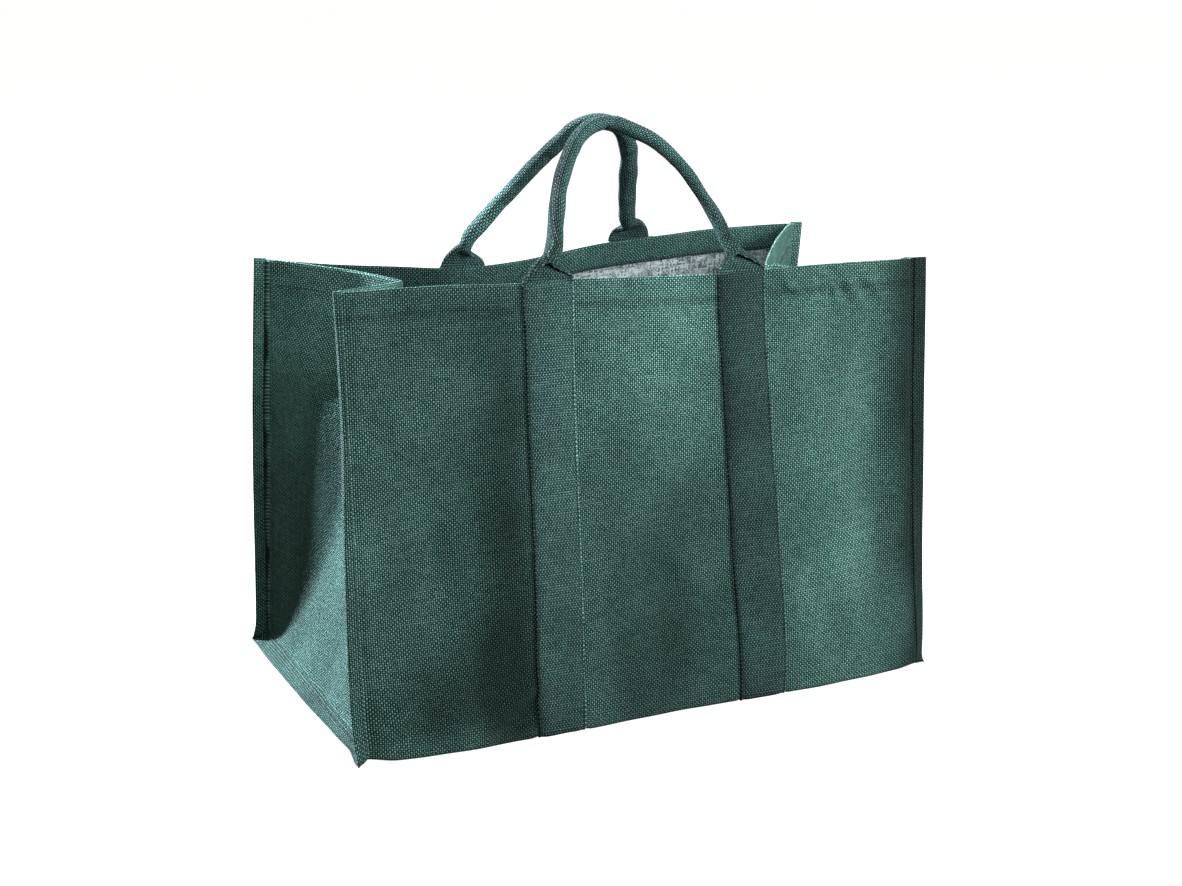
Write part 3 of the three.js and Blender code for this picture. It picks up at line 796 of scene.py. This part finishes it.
def gusset(end, jute_material, film):
    """End panel with flanges turned outwards along its sides and bottom, and a turned-in top hem."""
    acrosses = np.concatenate([[-1, -0.985], spread(-0.96, 0.96, 0.03), [0.985, 1]])
    heights = np.concatenate([[GUSSET_START, 13, 15, 19, 24], spread(30, 382, 6),
                              [386, 392, 399, 405, 407.4]])
    flange_outs = np.array([13.1, 10, 7.5, 5.2, 3.6, 2.2, 0.8])
    flange_inset = np.array([2.2, 2.2, 2.3, 2.4, 2.4, 2.4, 3.4])
    bottom = [(13.3, 9.8), (9, 8.0), (5.5, 5.8), (2.6, 3.5), (0.8, 1.4)]
    hem_rows = [(407.6, 1.4), (404, 2.3), (396, 2.5), (386, 2.0), (383, 1.7)]
    pad = len(flange_outs)

    def padded(face):
        """A row of face points with its ends repeated, where a row has no flanges."""
        return np.concatenate([np.repeat(face[:1], pad, 0), face, np.repeat(face[-1:], pad, 0)])

    def side_flange(side, z):
        return skin_layer(end * (SEAM_X + flange_outs), np.full(pad, way_at(side, z)), -flange_inset)

    lowest = gusset_point(end, acrosses, heights[0])
    rows = []
    for out, down in bottom:
        reach = out * (1 + base_taper(end, lowest[:, 1]))
        rows.append(padded(np.stack([end * (SEAM_X + reach), lowest[:, 1], lowest[:, 2] - down], 1)))
    for z in heights:
        face = gusset_point(end, acrosses, z)
        rows.append(np.concatenate([side_flange(FRONT, z), face, side_flange(BACK, z)[::-1]]))
    top_row = len(rows) - 1
    for z, layer in hem_rows:
        rows.append(padded(gusset_point(end, acrosses, z) + gusset_inward(end, acrosses, z) * layer))
    grid = np.array(rows)
    flange_u = HALF_GUSSET + flange_outs
    u = np.concatenate([-flange_u, acrosses * HALF_GUSSET, flange_u[::-1]])
    lift = heights[0] - 1.2
    turned_in = [2 * TOP_HEIGHT - lift - z for z, _ in hem_rows]
    v = np.concatenate([[-out for out, _ in bottom], heights - lift, turned_in])
    uvs = np.stack(np.meshgrid(u, v), axis=-1)
    kept = np.ones((len(rows) - 1, len(u) - 1), bool)
    kept[:len(bottom), :pad] = False
    kept[:len(bottom), -pad:] = False
    shares = abs(padded(acrosses))
    kept[top_row:, np.maximum(shares[:-1], shares[1:]) > 0.97] = False
    # Random tone with painted light and shade, and the bottom flanges made 15% darker.
    tone_and_light_shares = tone_and_painted_light(u, v[:, None], GUSSET_PAINTED_SHADING[end]) * (1 - 0.15 * (grid[..., 2] < GUSSET_START - 0.1))
    piece = thick_sheet(f"{END_NAMES[end]}_gusset_sewn", grid, uvs, tone_and_light_shares, CLOTH, [jute_material, film],
                        flip=end == LEFT, kept=kept, lined=abs(u) < HALF_GUSSET - 1)
    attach(piece, "bag")
    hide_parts(f"{END_NAMES[end]}_gusset")


STRAP_DRIFT = {
    LEFT: [(0, -0.5), (200, -2), (PANEL, -8.5), (PANEL + 200, 0), (WHOLE, 0)],
    RIGHT: [(0, 0), (PANEL, 8), (PANEL + 200, 0), (WHOLE, 0)],
}
STRAP_TAKE_UP = {LEFT: 0.06, RIGHT: 0.0}       # share of its width that a strap loses to waves, on the front


def strap_width(end, way):
    """Share of its flat width that a strap covers."""
    return 1 - STRAP_TAKE_UP[end] * smooth(way, 10, 60) * (1 - smooth(way, PANEL, PANEL + 100))


def strap_centre(end, way):
    return end * STRAP_X + through(way, STRAP_DRIFT[end])


def strap(end, webbing):
    """A strap up the front, under the base and up the back, pressed down along its stitch rows."""
    half_across = np.array([0, 5, 10, 15, 18, 20, 21.4, 22.4, 23.2, HALF_STRAP])
    across = np.concatenate([-half_across[:0:-1], half_across])
    pressed = 1 - smooth(abs(across), 15, STRAP_ROW)
    raised_edge = smooth(abs(across), STRAP_ROW, HALF_STRAP)
    lift = STRAP_GAP + WEBBING / 2 + 0.75 * pressed + 0.5 * raised_edge
    ways = cloth_ways(0.4)
    centres = strap_centre(end, ways) + 0.5 * ripple(ways, ways * 0, 41 + end, 130, 50)
    grid_x = centres[:, None] + across * strap_width(end, ways)[:, None]
    grid_way = np.broadcast_to(ways[:, None], grid_x.shape)
    waves = 0.175 * ripple(grid_x, grid_way, 45 + end, 40, 60)
    grid = skin_layer(grid_x, grid_way, lift + waves)
    grid[..., 2] = np.maximum(grid[..., 2], WEBBING / 2)
    uvs = np.stack(np.meshgrid(across, ways), axis=-1)
    # Random tone with the straps' painted light and shade.
    tone_and_light_shares = tone_and_painted_light(across, ways[:, None], STRAP_PAINTED_SHADING[end])
    piece = thick_sheet(f"{END_NAMES[end]}_strap_webbing", grid, uvs, tone_and_light_shares, WEBBING, [webbing], flip=True)
    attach(piece, "bag")
    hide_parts(f"{END_NAMES[end]}_strap")


def catmull_rom(points, spacing):
    """Evenly spaced points on a centripetal Catmull-Rom curve through 2D points, and the way along them."""
    points = np.array(points, float)
    ends = np.vstack([2 * points[0] - points[1], points, 2 * points[-1] - points[-2]])
    dense = []
    for i in range(1, len(ends) - 2):
        level = ends[i - 1: i + 3]
        knots = np.concatenate([[0], np.cumsum(np.linalg.norm(np.diff(level, axis=0), axis=1) ** 0.5)])
        t = np.linspace(knots[1], knots[2], 40, endpoint=False)[:, None]
        for first, last in (((0, 1, 2), (1, 2, 3)), ((0, 1), (2, 3)), ((1,), (2,))):
            level = [((knots[b] - t) * level[k] + (t - knots[a]) * level[k + 1]) / (knots[b] - knots[a])
                     for k, (a, b) in enumerate(zip(first, last))]
        dense.append(level[0])
    dense = np.vstack([*dense, points[-1:]])
    way = way_along(dense)
    even = np.linspace(0, way[-1], int(round(way[-1] / spacing)) + 1)
    return np.stack([np.interp(even, way, dense[:, k]) for k in range(2)], axis=1), even


class Handle:
    """The plane, the stations and the two ends of the bend of one handle."""

    def __init__(self, name, side, top_y, lean, arch):
        self.side = side
        self.body = f"{name}_handle"
        angle = math.radians(lean)
        self.root = np.array([0, top_y + side * (GAP + WEBBING / 2), TOP_HEIGHT])
        self.up = np.array([0, -side * math.sin(angle), math.cos(angle)])
        self.outward = np.array([0, side * math.cos(angle), math.sin(angle)])
        self.bend = dict(start=tuple(self.root * MM), end=tuple((self.root + self.up * ROOT_BEND) * MM))
        self.stations, self.way = catmull_rom(arch, 2.0)
        self.from_end = np.minimum(self.way, self.way[-1] - self.way)
        self.tangent = unit(np.gradient(self.stations, self.way, axis=0))

    def place(self, x, rise, away):
        x, rise, away = (np.asarray(value)[..., None] for value in np.broadcast_arrays(x, rise, away))
        return self.root + rise * self.up + away * self.outward + x * [1, 0, 0]


ROOT_BEND = 12            # the bend stored with each handle runs this far up from the panel's edge
ROOT_SINK = 1.2           # a handle's flat ends lie this far below a strap's top edge
HANDLES = [
    Handle("front", FRONT, FRONT_TOP_Y, FRONT_LEAN, FRONT_ARCH),
    Handle("rear", BACK, BACK_TOP_Y, BACK_LEAN, BACK_ARCH),
]

# By the distance from a handle's end: the half width of its cloth as it folds into a tube, half the
# tube's thickness, and how far the tab stands out of the handle's plane before it bends over.
HALF_WIDTH = {
    FRONT: [(0, 24), (3, 23.6), (8, 19.5), (14, 14), (20, 9.5), (25, 7.4), (34, 6.9), (60, 6.9)],
    BACK: [(0, 23.5), (5, 22), (9, 19.5), (13, 15), (17, 11), (22, 8), (34, 6.9), (60, 6.9)],
}
HALF_THICKNESS = {
    FRONT: [(0, 0.9), (10, 1.3), (16, 2.2), (22, 4.2), (30, 6.2), (60, 6.3)],
    BACK: [(0, 0.9), (8, 1.2), (13, 2.2), (19, 4.4), (28, 6.2), (60, 6.3)],
}
TAB_LIFT = {
    FRONT: [(0, 0), (8, 3), (15, 3.5), (24, 2), (36, 0.5), (48, 0), (60, 0)],
    BACK: [(0, 0), (6, 3.5), (11, 5.5), (16, 5.5), (24, 3), (36, 1), (50, 0), (60, 0)],
}
ROPE_START = 37           # from a handle's end to the start of the rope inside it
LAP = 0.9                 # the cloth's outer edge lies this far out of the tube, its inner one this far in
SEAM_TURN = {FRONT: -45, BACK: 20}             # the lap is turned this far round the tube, in degrees
# Where a tube was squashed: (way along the handle, share of its width, share of its thickness).
SQUASH = {
    FRONT: [(0, 1, 1), (40, 1.02, 0.98), (150, 1.0, 1.0), (215, 0.92, 1.04), (250, 0.86, 0.92),
            (380, 0.84, 0.92), (400, 1, 1), (430, 1, 1)],
    BACK: [(0, 1, 1), (40, 0.9, 1.1), (170, 0.9, 1.1), (215, 0.95, 1.05), (250, 1.12, 0.9), (360, 1.15, 0.87),
           (385, 1, 1), (430, 1, 1)],
}
# Bends that the smooth arches leave out: (way along the handle, sideways, upwards).
NUDGES = {
    FRONT: [(0, 0, 0), (60, 0, 0), (150, 1, -1), (190, 0, -2), (215, 0, -2.5), (240, -2, -4), (262, 0, -2.5),
            (290, -1.5, -1.5), (325, -1.5, -1), (380, -1, -0.5), (400, 0, 0), (430, 0, 0)],
    BACK: [(0, 0, 0), (12, -4, 0), (24, -10.5, 0), (36, -12.5, 0), (45, -8, 0), (54, -4, 0), (71, 0.7, 0.5),
           (94, 1.6, 1.5), (118, 1.4, 1.2), (141, 2.5, -0.5), (164, 3, -1.5), (180, 1.5, -2), (200, 0, -0.8),
           (225, 0, 1.2), (250, 0, 1), (290, 0, 0), (385, 0, 0), (408, -4, 0), (420, -4, 0), (430, -1, 0)],
}
# Dents in the tubes: (way along the handle, angle round the tube, depth, length).
DENTS = {
    FRONT: [(60, 0.6, 0.8, 5), (150, 0.2, 0.7, 6), (212, 0.3, 1.8, 3.0), (219, 2.6, 1.5, 3.0),
            (285, -0.5, 0.9, 5), (297, 0.9, 0.8, 3.5)],
    BACK: [(95, -0.6, 0.8, 5), (140, 0.3, 1.2, 3.5), (262, -0.4, 1.8, 3.0), (272, 0.5, 1.6, 3.0),
           (330, 0.2, 0.7, 4)],
}


def table(way, rows, column):
    return through(way, [(row[0], row[column]) for row in rows])


def folded_section(across, half_width, half_thickness):
    """(sideways, outwards, angle of the normal) on a strip folded over at both sides, a flattened tube."""
    flat = np.maximum(half_width - half_thickness, 0)[:, None]
    radius = half_thickness[:, None]
    turn = np.clip((abs(across) - flat) / radius, 0, math.pi)
    flap = np.maximum(abs(across) - flat - math.pi * radius, 0)
    sideways = np.sign(across) * (np.minimum(abs(across), flat) + radius * np.sin(turn) - flap)
    return sideways, radius * (1 - np.cos(turn)), np.sign(across) * turn


def handle_rings(handle, across):
    """Places (station, across, 3) of the rolled webbing's middle surface."""
    side, way, from_end = handle.side, handle.way, handle.from_end
    half_thickness = through(from_end, HALF_THICKNESS[side])
    sideways, outwards, turn = folded_section(across, through(from_end, HALF_WIDTH[side]), half_thickness)
    tube = smooth(from_end, 14, 24)[:, None]
    lap = LAP * (smooth(across, 6, 20) - smooth(-across, 6, 20)) * tube
    out = lap + 0.35 * ripple(way, way * 0, 51 + side, 40, 40)[:, None] * tube
    for place, angle, depth, length in DENTS[side]:
        out = out - depth * bump(way, place, length)[:, None] * np.clip(np.cos(turn - angle), 0, 1) ** 2
    sideways = sideways + out * np.sin(turn)
    height = outwards - out * np.cos(turn) - half_thickness[:, None]
    seam_turn = np.radians(SEAM_TURN[side]) * smooth(from_end, 26, 90)[:, None]
    sideways, height = (sideways * np.cos(seam_turn) + height * np.sin(seam_turn),
                        height * np.cos(seam_turn) - sideways * np.sin(seam_turn))
    sideways = sideways * table(way, SQUASH[side], 1)[:, None]
    height = height * table(way, SQUASH[side], 2)[:, None]
    level = np.stack([np.sign(handle.tangent[:, 1]), np.zeros(len(way))], axis=1)
    across_dir = np.stack([handle.tangent[:, 1], -handle.tangent[:, 0]], axis=1)
    square = (1 - smooth(from_end, 2, 22))[:, None]
    lateral = unit(level * square + across_dir * (1 - square))
    rest = half_thickness * (1 - smooth(from_end, 3, 22))
    away = height + (rest + through(from_end, TAB_LIFT[side]))[:, None]
    middle = handle.stations + np.stack([table(way, NUDGES[side], 1), table(way, NUDGES[side], 2)], axis=1)
    x, rise = (middle[:, k, None] + lateral[:, k, None] * sideways for k in range(2))
    return handle.place(x, rise, away) + handle_root_shift(handle)[:, None, :]


def handle_root_shift(handle):
    """Moves the roots onto the sagging panel edges, and nothing further up."""
    shift = np.zeros((len(handle.way), 3))
    panel_way = 0.0 if handle.side == FRONT else WHOLE
    half = len(handle.way) // 2
    for end, station, chosen in ((LEFT, 0, slice(None, half)), (RIGHT, -1, slice(half, None))):
        edge = skin_layer(strap_centre(end, panel_way), panel_way, STRAP_GAP + WEBBING / 2)
        nominal = handle.place(*handle.stations[station], 0.0)
        fade = 1 - smooth(handle.from_end[chosen], 0, 75)
        shift[chosen] = (edge - nominal - [0, 0, ROOT_SINK]) * fade[:, None]
    return shift


def handle_cover(handle, webbing):
    across = np.linspace(-HALF_STRAP, HALF_STRAP, 49)
    uvs = np.stack(np.meshgrid(across, handle.way), axis=-1)
    # Random tone with the handles' painted light and shade.
    tone_and_light_shares = tone_and_painted_light(across, handle.way[:, None], HANDLE_PAINTED_SHADING[handle.side])
    piece = thick_sheet(f"{handle.body}_rolled", handle_rings(handle, across), uvs, tone_and_light_shares, WEBBING, [webbing],
                        flip=handle.side == BACK)
    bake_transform(piece)
    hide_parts(f"{handle.body}_cover")


def tube_centres(handle):
    """Axis of the tube: the middle of four places a quarter turn apart."""
    quarter = ROLL_RADIUS * math.pi / 2
    return handle_rings(handle, quarter * np.array([-1.5, -0.5, 0.5, 1.5])).mean(axis=1)


def ring_faces(rings, count, first=0):
    """Faces of a closed tube of rings with count points each, numbered from first."""
    around = [(k, (k + 1) % count) for k in range(count)]
    faces = [(a + start, b + start, b + start + count, a + start + count)
             for start in range(first, first + (rings - 1) * count, count) for a, b in around]
    last = first + (rings - 1) * count
    return [*faces, tuple(range(first + count - 1, first - 1, -1)), tuple(range(last, last + count))]


def handle_rope(handle, rope):
    """The laid rope inside a handle's cover: three strands that turn round each other."""
    chosen = handle.from_end > ROPE_START
    centres = tube_centres(handle)[chosen]
    way = handle.way[chosen]
    along = unit(np.gradient(centres, axis=0))
    side = unit(np.cross(along, [0.0, 1.0, 0.3]))
    other = np.cross(along, side)
    turns = np.radians(np.arange(0, 360, 20))
    lobes = 4.0 + 0.6 * np.cos(3 * turns - way[:, None] / 9)
    lobes[[0, -1]] *= 0.6
    rings = (centres[:, None] + side[:, None] * (np.cos(turns) * lobes)[..., None]
             + other[:, None] * (np.sin(turns) * lobes)[..., None])
    faces = ring_faces(len(way), len(turns))
    uvs = np.stack(np.broadcast_arrays(way[:, None], turns * 6), axis=-1).reshape(-1, 2)
    piece = mesh_object(f"{handle.body}_rope", rings.reshape(-1, 3), faces, uvs, [rope])
    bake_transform(piece)
    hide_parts(f"{handle.body}_core")


# ---- Stitches ----

STITCH_LENGTH = 3.2
STITCH_GAP = 0.7
STITCH_WIDTH = 0.8
STITCH_HEIGHT = 0.5
STITCH_SINK = 0.15        # depth of a stitch's lower side in the cloth
SURFACE = 0.05            # height of a seam's thread over a panel's outer face
ROW_STEP = 3              # a row follows the cloth in steps of about this length
CROSS_ROW = 5.5           # the row across the top of a strap, from the panel's top edge
INSIDE_ROW = 60           # a strap's rows can be seen on the inside down to here
ROW_START = 26            # from a handle's end to the start of the row that closes its cover
HANDLE_ROW = 20.8         # that row's place across the cloth, from its middle


def stitch_row(points, normals):
    """Vertices, faces and UVs of separate stitches along a row of points with normals."""
    way = way_along(points)
    starts = np.arange(STITCH_GAP / 2, way[-1] - STITCH_LENGTH, STITCH_LENGTH + STITCH_GAP)
    shares = np.array([0.0, 0.22, 0.78, 1.0])
    sizes = np.array([0.35, 1.0, 1.0, 0.35])
    turns = np.radians(np.arange(0, 360, 60))
    at = (starts[:, None] + shares * STITCH_LENGTH).ravel()

    def along_row(values, where):
        return np.stack([np.interp(where, way, values[:, k]) for k in range(3)], axis=1)

    along = unit(along_row(points, at + 0.3) - along_row(points, at - 0.3))
    normal = unit(along_row(normals, at))
    side = unit(np.cross(along, normal))
    size = np.tile(sizes, len(starts))[:, None]
    centre = along_row(points, at) + normal * (STITCH_HEIGHT * 0.5 * size - STITCH_SINK)
    rings = (centre[:, None, :]
             + side[:, None, :] * (np.cos(turns)[None, :, None] * STITCH_WIDTH / 2 * size[:, None])
             + normal[:, None, :] * (np.sin(turns)[None, :, None] * STITCH_HEIGHT / 2 * size[:, None]))
    uvs = np.stack(np.broadcast_arrays(at[:, None], turns), axis=-1).reshape(-1, 2)
    each = len(shares) * len(turns)
    faces = [face for k in range(len(starts)) for face in ring_faces(len(shares), len(turns), k * each)]
    return rings.reshape(-1, 3), faces, uvs


def stitches(name, rows, thread, handle=None):
    """One object of all the stitches of several rows, which stands for the thread of that name."""
    vertices, faces, uvs, offset = [], [], [], 0
    for points, normals in rows:
        more, more_faces, more_uvs = stitch_row(points, normals)
        vertices.append(more)
        uvs.append(more_uvs)
        faces += [tuple(offset + i for i in face) for face in more_faces]
        offset += len(more)
    piece = mesh_object(f"{name}_stitches", np.concatenate(vertices), faces, np.concatenate(uvs), [thread])
    if handle:
        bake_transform(piece)
    else:
        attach(piece, "bag")
    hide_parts(f"{name}_thread")


def skin_row(xs, ways, out):
    xs, ways = np.broadcast_arrays(np.asarray(xs, float), np.asarray(ways, float))
    return skin_layer(xs, ways, out), skin_normal(xs, ways) * (1 if out >= 0 else -1)


def strap_stitches(end, thread):
    """Rows along both edges of a strap, and one across it just under each panel's top edge."""
    out = STRAP_GAP + WEBBING
    for side_name, low, high in (("front", CROSS_ROW, FRONT_FOLD), ("back", BACK_FOLD, WHOLE - CROSS_ROW)):
        ways = spread(low, high, ROW_STEP)
        near_top = ways[(ways < INSIDE_ROW) | (ways > WHOLE - INSIDE_ROW)]
        rows = []
        for edge in (-STRAP_ROW, STRAP_ROW):
            for places, depth in ((ways, out), (near_top, -(HEM_DEPTH + 0.9))):
                xs = strap_centre(end, places) + edge * strap_width(end, places)
                rows.append(skin_row(xs, places, depth))
        cross = low if side_name == "front" else high
        xs = strap_centre(end, cross) + spread(-STRAP_ROW, STRAP_ROW, ROW_STEP)
        rows.append(skin_row(xs, cross, out + 0.4))
        stitches(f"{side_name}_{END_NAMES[end]}_strap", rows, thread)


def seam_stitches(end, thread):
    """Down the front flange, under the base and up the back flange, seen on both faces of the flange."""
    ways = spread(3, WHOLE - 3, ROW_STEP)
    above = ways[(ways < PANEL - 5) | (ways > BACK_START + 5)]
    bottom = gusset_point(end, spread(-0.97, 0.97, 0.02), GUSSET_START) + [0, 0, CLOTH / 2 - 3.4]
    bottom[:, 0] = end * (SEAM_X + 3.5)
    rows = [
        skin_row(end * (SEAM_X + 1.5), ways, SURFACE),
        skin_row(end * (SEAM_X + 3.0), above, -(2 * CLOTH + GAP + 0.8)),
        (bottom, np.broadcast_to(unit(np.array([end * 0.5, 0, 0.86])), bottom.shape)),
    ]
    stitches(f"{END_NAMES[end]}_gusset_seam", rows, thread)


def hem_stitches(thread):
    """The rows that hold the panels' hems, seen inside and out, and the gussets' hems."""
    xs = spread(-SEAM_X + 10, SEAM_X - 10, ROW_STEP)
    for name, way in (("front", HEM_ROW), ("back", WHOLE - HEM_ROW)):
        stitches(f"{name}_hem", [skin_row(xs, way, SURFACE), skin_row(xs, way, -(HEM_DEPTH + 1.0))], thread)
    across = spread(-0.95, 0.95, 0.02)
    z = TOP_HEIGHT - HEM + 2.5
    for end in (LEFT, RIGHT):
        inward = gusset_inward(end, across, z)
        middle = gusset_point(end, across, z)
        rows = [(middle - inward * CLOTH / 2, -inward), (middle + inward * (2 * CLOTH + GAP), inward)]
        stitches(f"{END_NAMES[end]}_gusset_hem", rows, thread)


def handle_stitches(handle, thread):
    """The row that closes a handle's cover, along its outer side."""
    chosen = handle.from_end > ROW_START
    points = handle_rings(handle, np.array([HANDLE_ROW]))[chosen, 0]
    normals = unit(points - tube_centres(handle)[chosen])
    stitches(handle.body, [(points + normals * WEBBING / 2, normals)], thread, handle)


# ---- Camera, floor and light ----

CAMERA_TURN = (-24.67, 14.67, 0.35)            # azimuth, elevation and roll, in degrees
CAMERA_PLACE = (-0.739, -1.617, 0.686)
LENS = 56.5


def make_camera():
    azimuth, elevation, roll = (math.radians(angle) for angle in CAMERA_TURN)
    data = bpy.data.cameras.new("Camera")
    data.sensor_width = 36
    data.lens = LENS
    camera = bpy.data.objects.new("Camera", data)
    camera.matrix_world = (Matrix.Translation(CAMERA_PLACE) @ Matrix.Rotation(azimuth, 4, "Z")
                           @ Matrix.Rotation(math.pi / 2 - elevation, 4, "X") @ Matrix.Rotation(roll, 4, "Z"))
    bpy.context.scene.collection.objects.link(camera)
    bpy.context.scene.camera = camera


def stage_surface(name, material_name, vertices, faces, **looks):
    """A glowing white piece of the stage that isn't mirrored and adds no light to the object."""
    mesh = bpy.data.meshes.new(name)
    mesh.from_pydata(vertices, [], faces)
    nodes = Nodes(material_name)
    nodes.surface(Specular_IOR_Level=0.0, Emission_Color=(1, 1, 1), **looks)
    mesh.materials.append(nodes.material)
    made = bpy.data.objects.new(name, mesh)
    made.visible_diffuse = made.visible_glossy = False
    bpy.context.scene.collection.objects.link(made)
    return made


def make_floor():
    """A plain pale floor, and a white backdrop all round that only the camera sees."""
    reach = 30
    square = [(-reach, -reach, 0), (reach, -reach, 0), (reach, reach, 0), (-reach, reach, 0)]
    stage_surface("Floor", "PaleFloor", square, [(0, 1, 2, 3)], Base_Color=(0.25, 0.25, 0.25), Roughness=0.95,
                  Emission_Strength=0.95)
    around = 48
    turns = [2 * math.pi * k / around for k in range(around)]
    vertices = [(28 * math.cos(turn), 28 * math.sin(turn), z) for z in (-0.5, reach) for turn in turns]
    sides = [(k, (k + 1) % around, (k + 1) % around + around, k + around) for k in range(around)]
    dome = stage_surface("Backdrop", "WhiteBackdrop", vertices, [*sides, tuple(range(around, 2 * around))],
                         Base_Color=(0, 0, 0), Emission_Strength=1.0)
    dome.visible_shadow = False


def area_light(name, location, target, size, power, colour=(1, 1, 1)):
    data = bpy.data.lights.new(name, "AREA")
    data.shape = "RECTANGLE"
    data.size, data.size_y = size
    data.energy = power
    data.color = colour
    light = bpy.data.objects.new(name, data)
    light.location = location
    light.rotation_mode = "QUATERNION"
    light.rotation_quaternion = (Vector(target) - Vector(location)).to_track_quat("-Z", "Y")
    bpy.context.scene.collection.objects.link(light)


def make_light():
    world = bpy.data.worlds.new("Studio")
    world.use_nodes = True
    background = world.node_tree.nodes["Background"].inputs
    background["Color"].default_value = (1.0, 0.96, 0.88, 1)
    background["Strength"].default_value = 0.2
    bpy.context.scene.world = world
    area_light("RearLeft", (-1.4, 2.0, 2.1), (-0.25, 0, 0.2), (0.3, 0.3), 530, (0.94, 0.98, 1.08))
    area_light("RightFront", (1.3, -1.0, 1.05), (0.1, -0.12, 0.25), (0.5, 0.5), 42, (0.95, 1.0, 1.0))
    area_light("Front", (-0.2, -2.2, 2.2), (0, -0.1, 0.3), (1.2, 1.2), 60)
    bpy.context.scene.view_settings.view_transform = "Standard"


# ---- Assembly ----

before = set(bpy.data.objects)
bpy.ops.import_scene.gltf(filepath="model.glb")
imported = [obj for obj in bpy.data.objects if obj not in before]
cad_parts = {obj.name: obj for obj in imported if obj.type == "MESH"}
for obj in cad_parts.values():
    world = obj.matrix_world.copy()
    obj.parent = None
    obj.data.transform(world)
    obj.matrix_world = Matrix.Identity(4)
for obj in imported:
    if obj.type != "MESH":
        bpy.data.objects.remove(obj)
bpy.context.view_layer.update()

make_camera()
make_floor()
make_light()

body_jute = jute("BodyJute", JUTE_DARK, JUTE_LIGHT, pitch_x=2.0, pitch_y=1.9, depth=0.9)
strap_jute = jute("StrapJute", STRAP_DARK, STRAP_LIGHT, pitch_x=1.6, pitch_y=2.1, depth=0.8)
film_material = lamination()
thread = thread_material()
rope = rope_material()

body_cloth(body_jute, film_material)
for end in (LEFT, RIGHT):
    gusset(end, body_jute, film_material)
for end in (LEFT, RIGHT):
    strap(end, strap_jute)
for handle in HANDLES:
    handle_cover(handle, strap_jute)
for end in (LEFT, RIGHT):
    strap_stitches(end, thread)
    seam_stitches(end, thread)
hem_stitches(thread)
for handle in HANDLES:
    handle_stitches(handle, thread)
    handle_rope(handle, rope)
